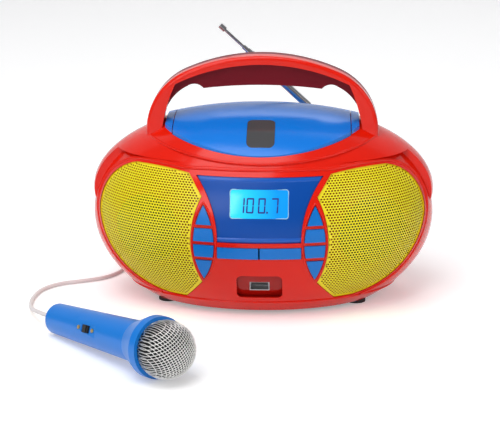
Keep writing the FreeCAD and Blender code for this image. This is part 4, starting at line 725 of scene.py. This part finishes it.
def addGrilles(look):
    # the left sheet with its rim, and its mirror image
    points, faces, outline = grilleCells(look)
    rimPoints, rimFaces = rimBand(outline, look)
    allPoints = np.concatenate([points, rimPoints])
    allFaces = np.concatenate([faces, rimFaces + len(points)])
    for side, flip in (("left", 1), ("right", -1)):
        placed = allPoints * np.array([flip, 1, 1])
        turned = allFaces if flip == 1 else allFaces[:, ::-1]
        yellow = materials["grilleYellow"]
        sheet = addPiece(f"{side}Grille", placed, turned, yellow, "case", False)
        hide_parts(f"{side}_grille")


addGrilles(grille)

# Display figures: slanted seven-segment bars lying on the lens
display = {"sink": 0.00145, "thick": 0.0001, "height": 0.0098, "width": 0.0050, "bar": 0.00100,
           "barGap": 0.2, "barTrim": 0.6, "lowZ": 0.0777, "slant": 0.06,
           "figures": [(-0.0150, "1"), (-0.0088, "0"), (-0.0010, "0"), (0.0075, "7")],
           "point": (0.0053, 0.0012)}
segmentsOn = {"0": "abcdef", "1": "bc", "7": "abc"}


def figureBars(look):
    # each bar as (centre x, centre z, half width, half height) before the slant
    width, height, bar = look["width"], look["height"], look["bar"]
    upright = (bar / 2, height / 4 - bar * look["barGap"])
    level = (width / 2 - bar * look["barTrim"], bar / 2)
    left, right, high, low = bar / 2, width - bar / 2, height * 0.75, height * 0.25
    bars = {"a": (width / 2, height - bar / 2, *level), "d": (width / 2, bar / 2, *level),
            "b": (right, high, *upright), "c": (right, low, *upright),
            "e": (left, low, *upright), "f": (left, high, *upright)}
    placed = []
    for startX, figure in look["figures"]:
        for letter in segmentsOn[figure]:
            x, z, halfX, halfZ = bars[letter]
            placed.append((startX + x, z, halfX, halfZ))
    pointX, size = look["point"]
    placed.append((pointX, size / 2, size / 2, size / 2))
    return np.array(placed)


def addFigures(look):
    # each bar as a thin box on the lens, sheared by its height
    bars = figureBars(look)
    corner = np.array([(-1, -1), (1, -1), (1, 1), (-1, 1)])
    x = bars[:, None, 0] + corner[None, :, 0] * bars[:, None, 2]
    z = bars[:, None, 1] + corner[None, :, 1] * bars[:, None, 3]
    x = x + z * look["slant"]
    z = z + look["lowZ"]
    front = np.stack([x, frontOf(x, z, look["sink"]), z], axis=-1)
    back = np.stack([x, frontOf(x, z, look["sink"] + look["thick"]), z], axis=-1)
    points = np.concatenate([front, back], axis=1)
    cube = np.array([(0, 1, 2, 3), (7, 6, 5, 4), (0, 4, 5, 1), (1, 5, 6, 2), (2, 6, 7, 3), (3, 7, 4, 0)])
    faces = (cube[None] + (np.arange(len(bars)) * 8)[:, None, None]).reshape(-1, 4)
    return addPiece("displayFigures", points, faces, materials["digitInk"], "case", False)


addFigures(display)
print("display figures placed")


# Beads and small ledges of the mouldings
beadSides = 10


def addBead(name, path, outward, radius, closed, finish, flat=1.0):
    # a round profile carried along the path, its ends shut where the path is open
    points = sweep(path, outward, ringProfile(radius, beadSides, flat), closed)
    faces = gridQuads(len(path), beadSides, closed, True).tolist()
    if not closed:
        last = (len(path) - 1) * beadSides
        faces += [list(range(beadSides)), list(range(last, last + beadSides))[::-1]]
    return addPiece(name, points, faces, materials[finish], "case")


def smoothRun(points, width):
    # moving average along an open path that keeps its ends
    padded = np.concatenate([np.repeat(points[:1], width, 0), points, np.repeat(points[-1:], width, 0)])
    kernel = np.ones(2 * width + 1) / (2 * width + 1)
    return np.stack([np.convolve(padded[:, k], kernel, "valid") for k in range(3)], axis=-1)


rim = {"browZ": 0.1046, "offset": 0.0024, "radius": 0.0015, "flat": 0.8, "blend": 6, "arcSteps": 40,
       "browSteps": 60}


def addFrontRim(look):
    # up outside the left grille's curved side, over it, along the brow and down the other side
    corners = grille["corners"]
    arcs = [arcRun(corners[k][:2], corners[k + 1][:2], corners[k][2], look["arcSteps"]) for k in range(3)]
    side = np.concatenate(arcs)[::-1]
    direction = alongPath(side, False)
    outward = np.stack([-direction[:, 1], direction[:, 0]], axis=-1)
    left = side + outward * look["offset"]
    browX = np.linspace(left[-1, 0], -left[-1, 0], look["browSteps"])[1:-1]
    middle = np.stack([browX, np.full_like(browX, look["browZ"])], axis=-1)
    xz = np.concatenate([left, middle, left[::-1] * np.array([-1, 1])])
    onSkin = np.stack([xz[:, 0], frontOf(xz[:, 0], xz[:, 1], 0.0), xz[:, 1]], axis=-1)
    path = smoothRun(onSkin, look["blend"])
    addBead("frontRim", path, hullNormal(path), look["radius"], False, "caseRed", look["flat"])


skirt = {"z": 0.0112, "radius": 0.0008, "pastSide": 0.03, "steps": 160}


def addSkirtBead(look):
    # a fine line low round the front: the case's level cut, from a little past one side to past the other
    share = math.sqrt(1 - ((look["z"] - hull["mid"][2]) / hull["half"][2]) ** 2)
    turn = np.linspace(-math.pi * look["pastSide"], math.pi * (1 + look["pastSide"]), look["steps"])
    x = hull["half"][0] * share * np.cos(turn)
    y = hull["mid"][1] - hull["half"][1] * share * np.sin(turn)
    path = np.stack([x, y, np.full_like(x, look["z"])], axis=-1)
    addBead("skirtBead", path, hullNormal(path), look["radius"], False, "caseRed")


def addCollarBead(look):
    # along the collar's oval, half sunk in its top
    angle = np.linspace(0, 2 * math.pi, look["beadSteps"], endpoint=False)
    x = look["halfWidth"] * np.cos(angle)
    y = look["midY"] + look["halfDepth"] * np.sin(angle)
    path = np.stack([x, y, topOf(x, y, look["rise"] - look["beadSink"])], axis=-1)
    addBead("collarBead", path, hullNormal(path), look["beadRadius"], True, "caseRed")


leafRim = {"x": 0.0373, "topZ": 0.082, "bottomZ": 0.0305, "bulge": 0.0069, "grow": 0.0013, "tipShare": 1.6,
           "sink": 0.0001, "radius": 0.0007, "steps": 40}


def addLeafRims(look):
    # two arcs that meet at the leaf's tips, moved outwards
    tip = look["grow"] * look["tipShare"]
    top = (-look["x"], look["topZ"] + tip)
    low = (-look["x"], look["bottomZ"] - tip)
    bulge = -(look["bulge"] + look["grow"])
    xz = np.concatenate([arcRun(top, low, bulge, look["steps"]), arcRun(low, top, bulge, look["steps"])])
    for side, flip in (("left", 1), ("right", -1)):
        x = xz[:, 0] * flip
        path = np.stack([x, frontOf(x, xz[:, 1], look["sink"]), xz[:, 1]], axis=-1)
        addBead(f"{side}LeafRim", path, hullNormal(path), look["radius"], True, "caseRed")


lens = {"half": 0.0195, "lowZ": 0.0742, "highZ": 0.0926, "corner": 0.0018, "sink": 0.00125, "radius": 0.00032,
        "cornerSteps": 8}


def addLensFrame(look):
    # a rounded rectangle of four quarter circles
    turn = np.linspace(0, math.pi / 2, look["cornerSteps"])
    high, low = look["highZ"] - look["corner"], look["lowZ"] + look["corner"]
    runs = []
    for quarter, (signX, z) in enumerate(((1, high), (-1, high), (-1, low), (1, low))):
        centre = np.array([signX * (look["half"] - look["corner"]), z])
        angle = turn + quarter * math.pi / 2
        runs.append(centre + look["corner"] * np.stack([np.cos(angle), np.sin(angle)], axis=-1))
    xz = np.concatenate(runs)
    path = np.stack([xz[:, 0], frontOf(xz[:, 0], xz[:, 1], look["sink"]), xz[:, 1]], axis=-1)
    addBead("lensFrame", path, hullNormal(path), look["radius"], True, "lensPale")


panelLedges = {"topLedge": {"half": (0.0412, 0.0402), "z": (0.0999, 0.0988, 0.0974, 0.0970),
                            "sink": (0.0005, 0.0005, 0.0011, 0.0013)},
               "lowLedge": {"half": (0.0284, 0.0281), "z": (0.0612, 0.0606, 0.0584, 0.0579),
                            "sink": (0.0013, 0.0008, 0.0008, 0.0013)}}
ledgeSteps = 61


def addPanelLedge(name, look):
    # a strip across the panel whose height over the sunk panel follows a short profile
    z = np.array(look["z"])
    half = np.interp(z, (z[-1], z[0]), look["half"][::-1])
    share = np.linspace(-1, 1, ledgeSteps)
    x = share[None, :] * half[:, None]
    zGrid = np.repeat(z[:, None], len(share), 1)
    y = np.stack([frontOf(x[k], zGrid[k], look["sink"][k]) for k in range(len(z))])
    points = np.stack([x, y, zGrid], axis=-1)
    # the ledges take the lightened panel blue, a painted highlight
    addPiece(name, points, gridQuads(len(z), len(share)), materials["ledgePaintedHighlightBlue"], "case")


addFrontRim(rim)
addSkirtBead(skirt)
addCollarBead(collar)
addLeafRims(leafRim)
addLensFrame(lens)
for ledgeName, ledgeLook in panelLedges.items():
    addPanelLedge(ledgeName, ledgeLook)
print("trim added")
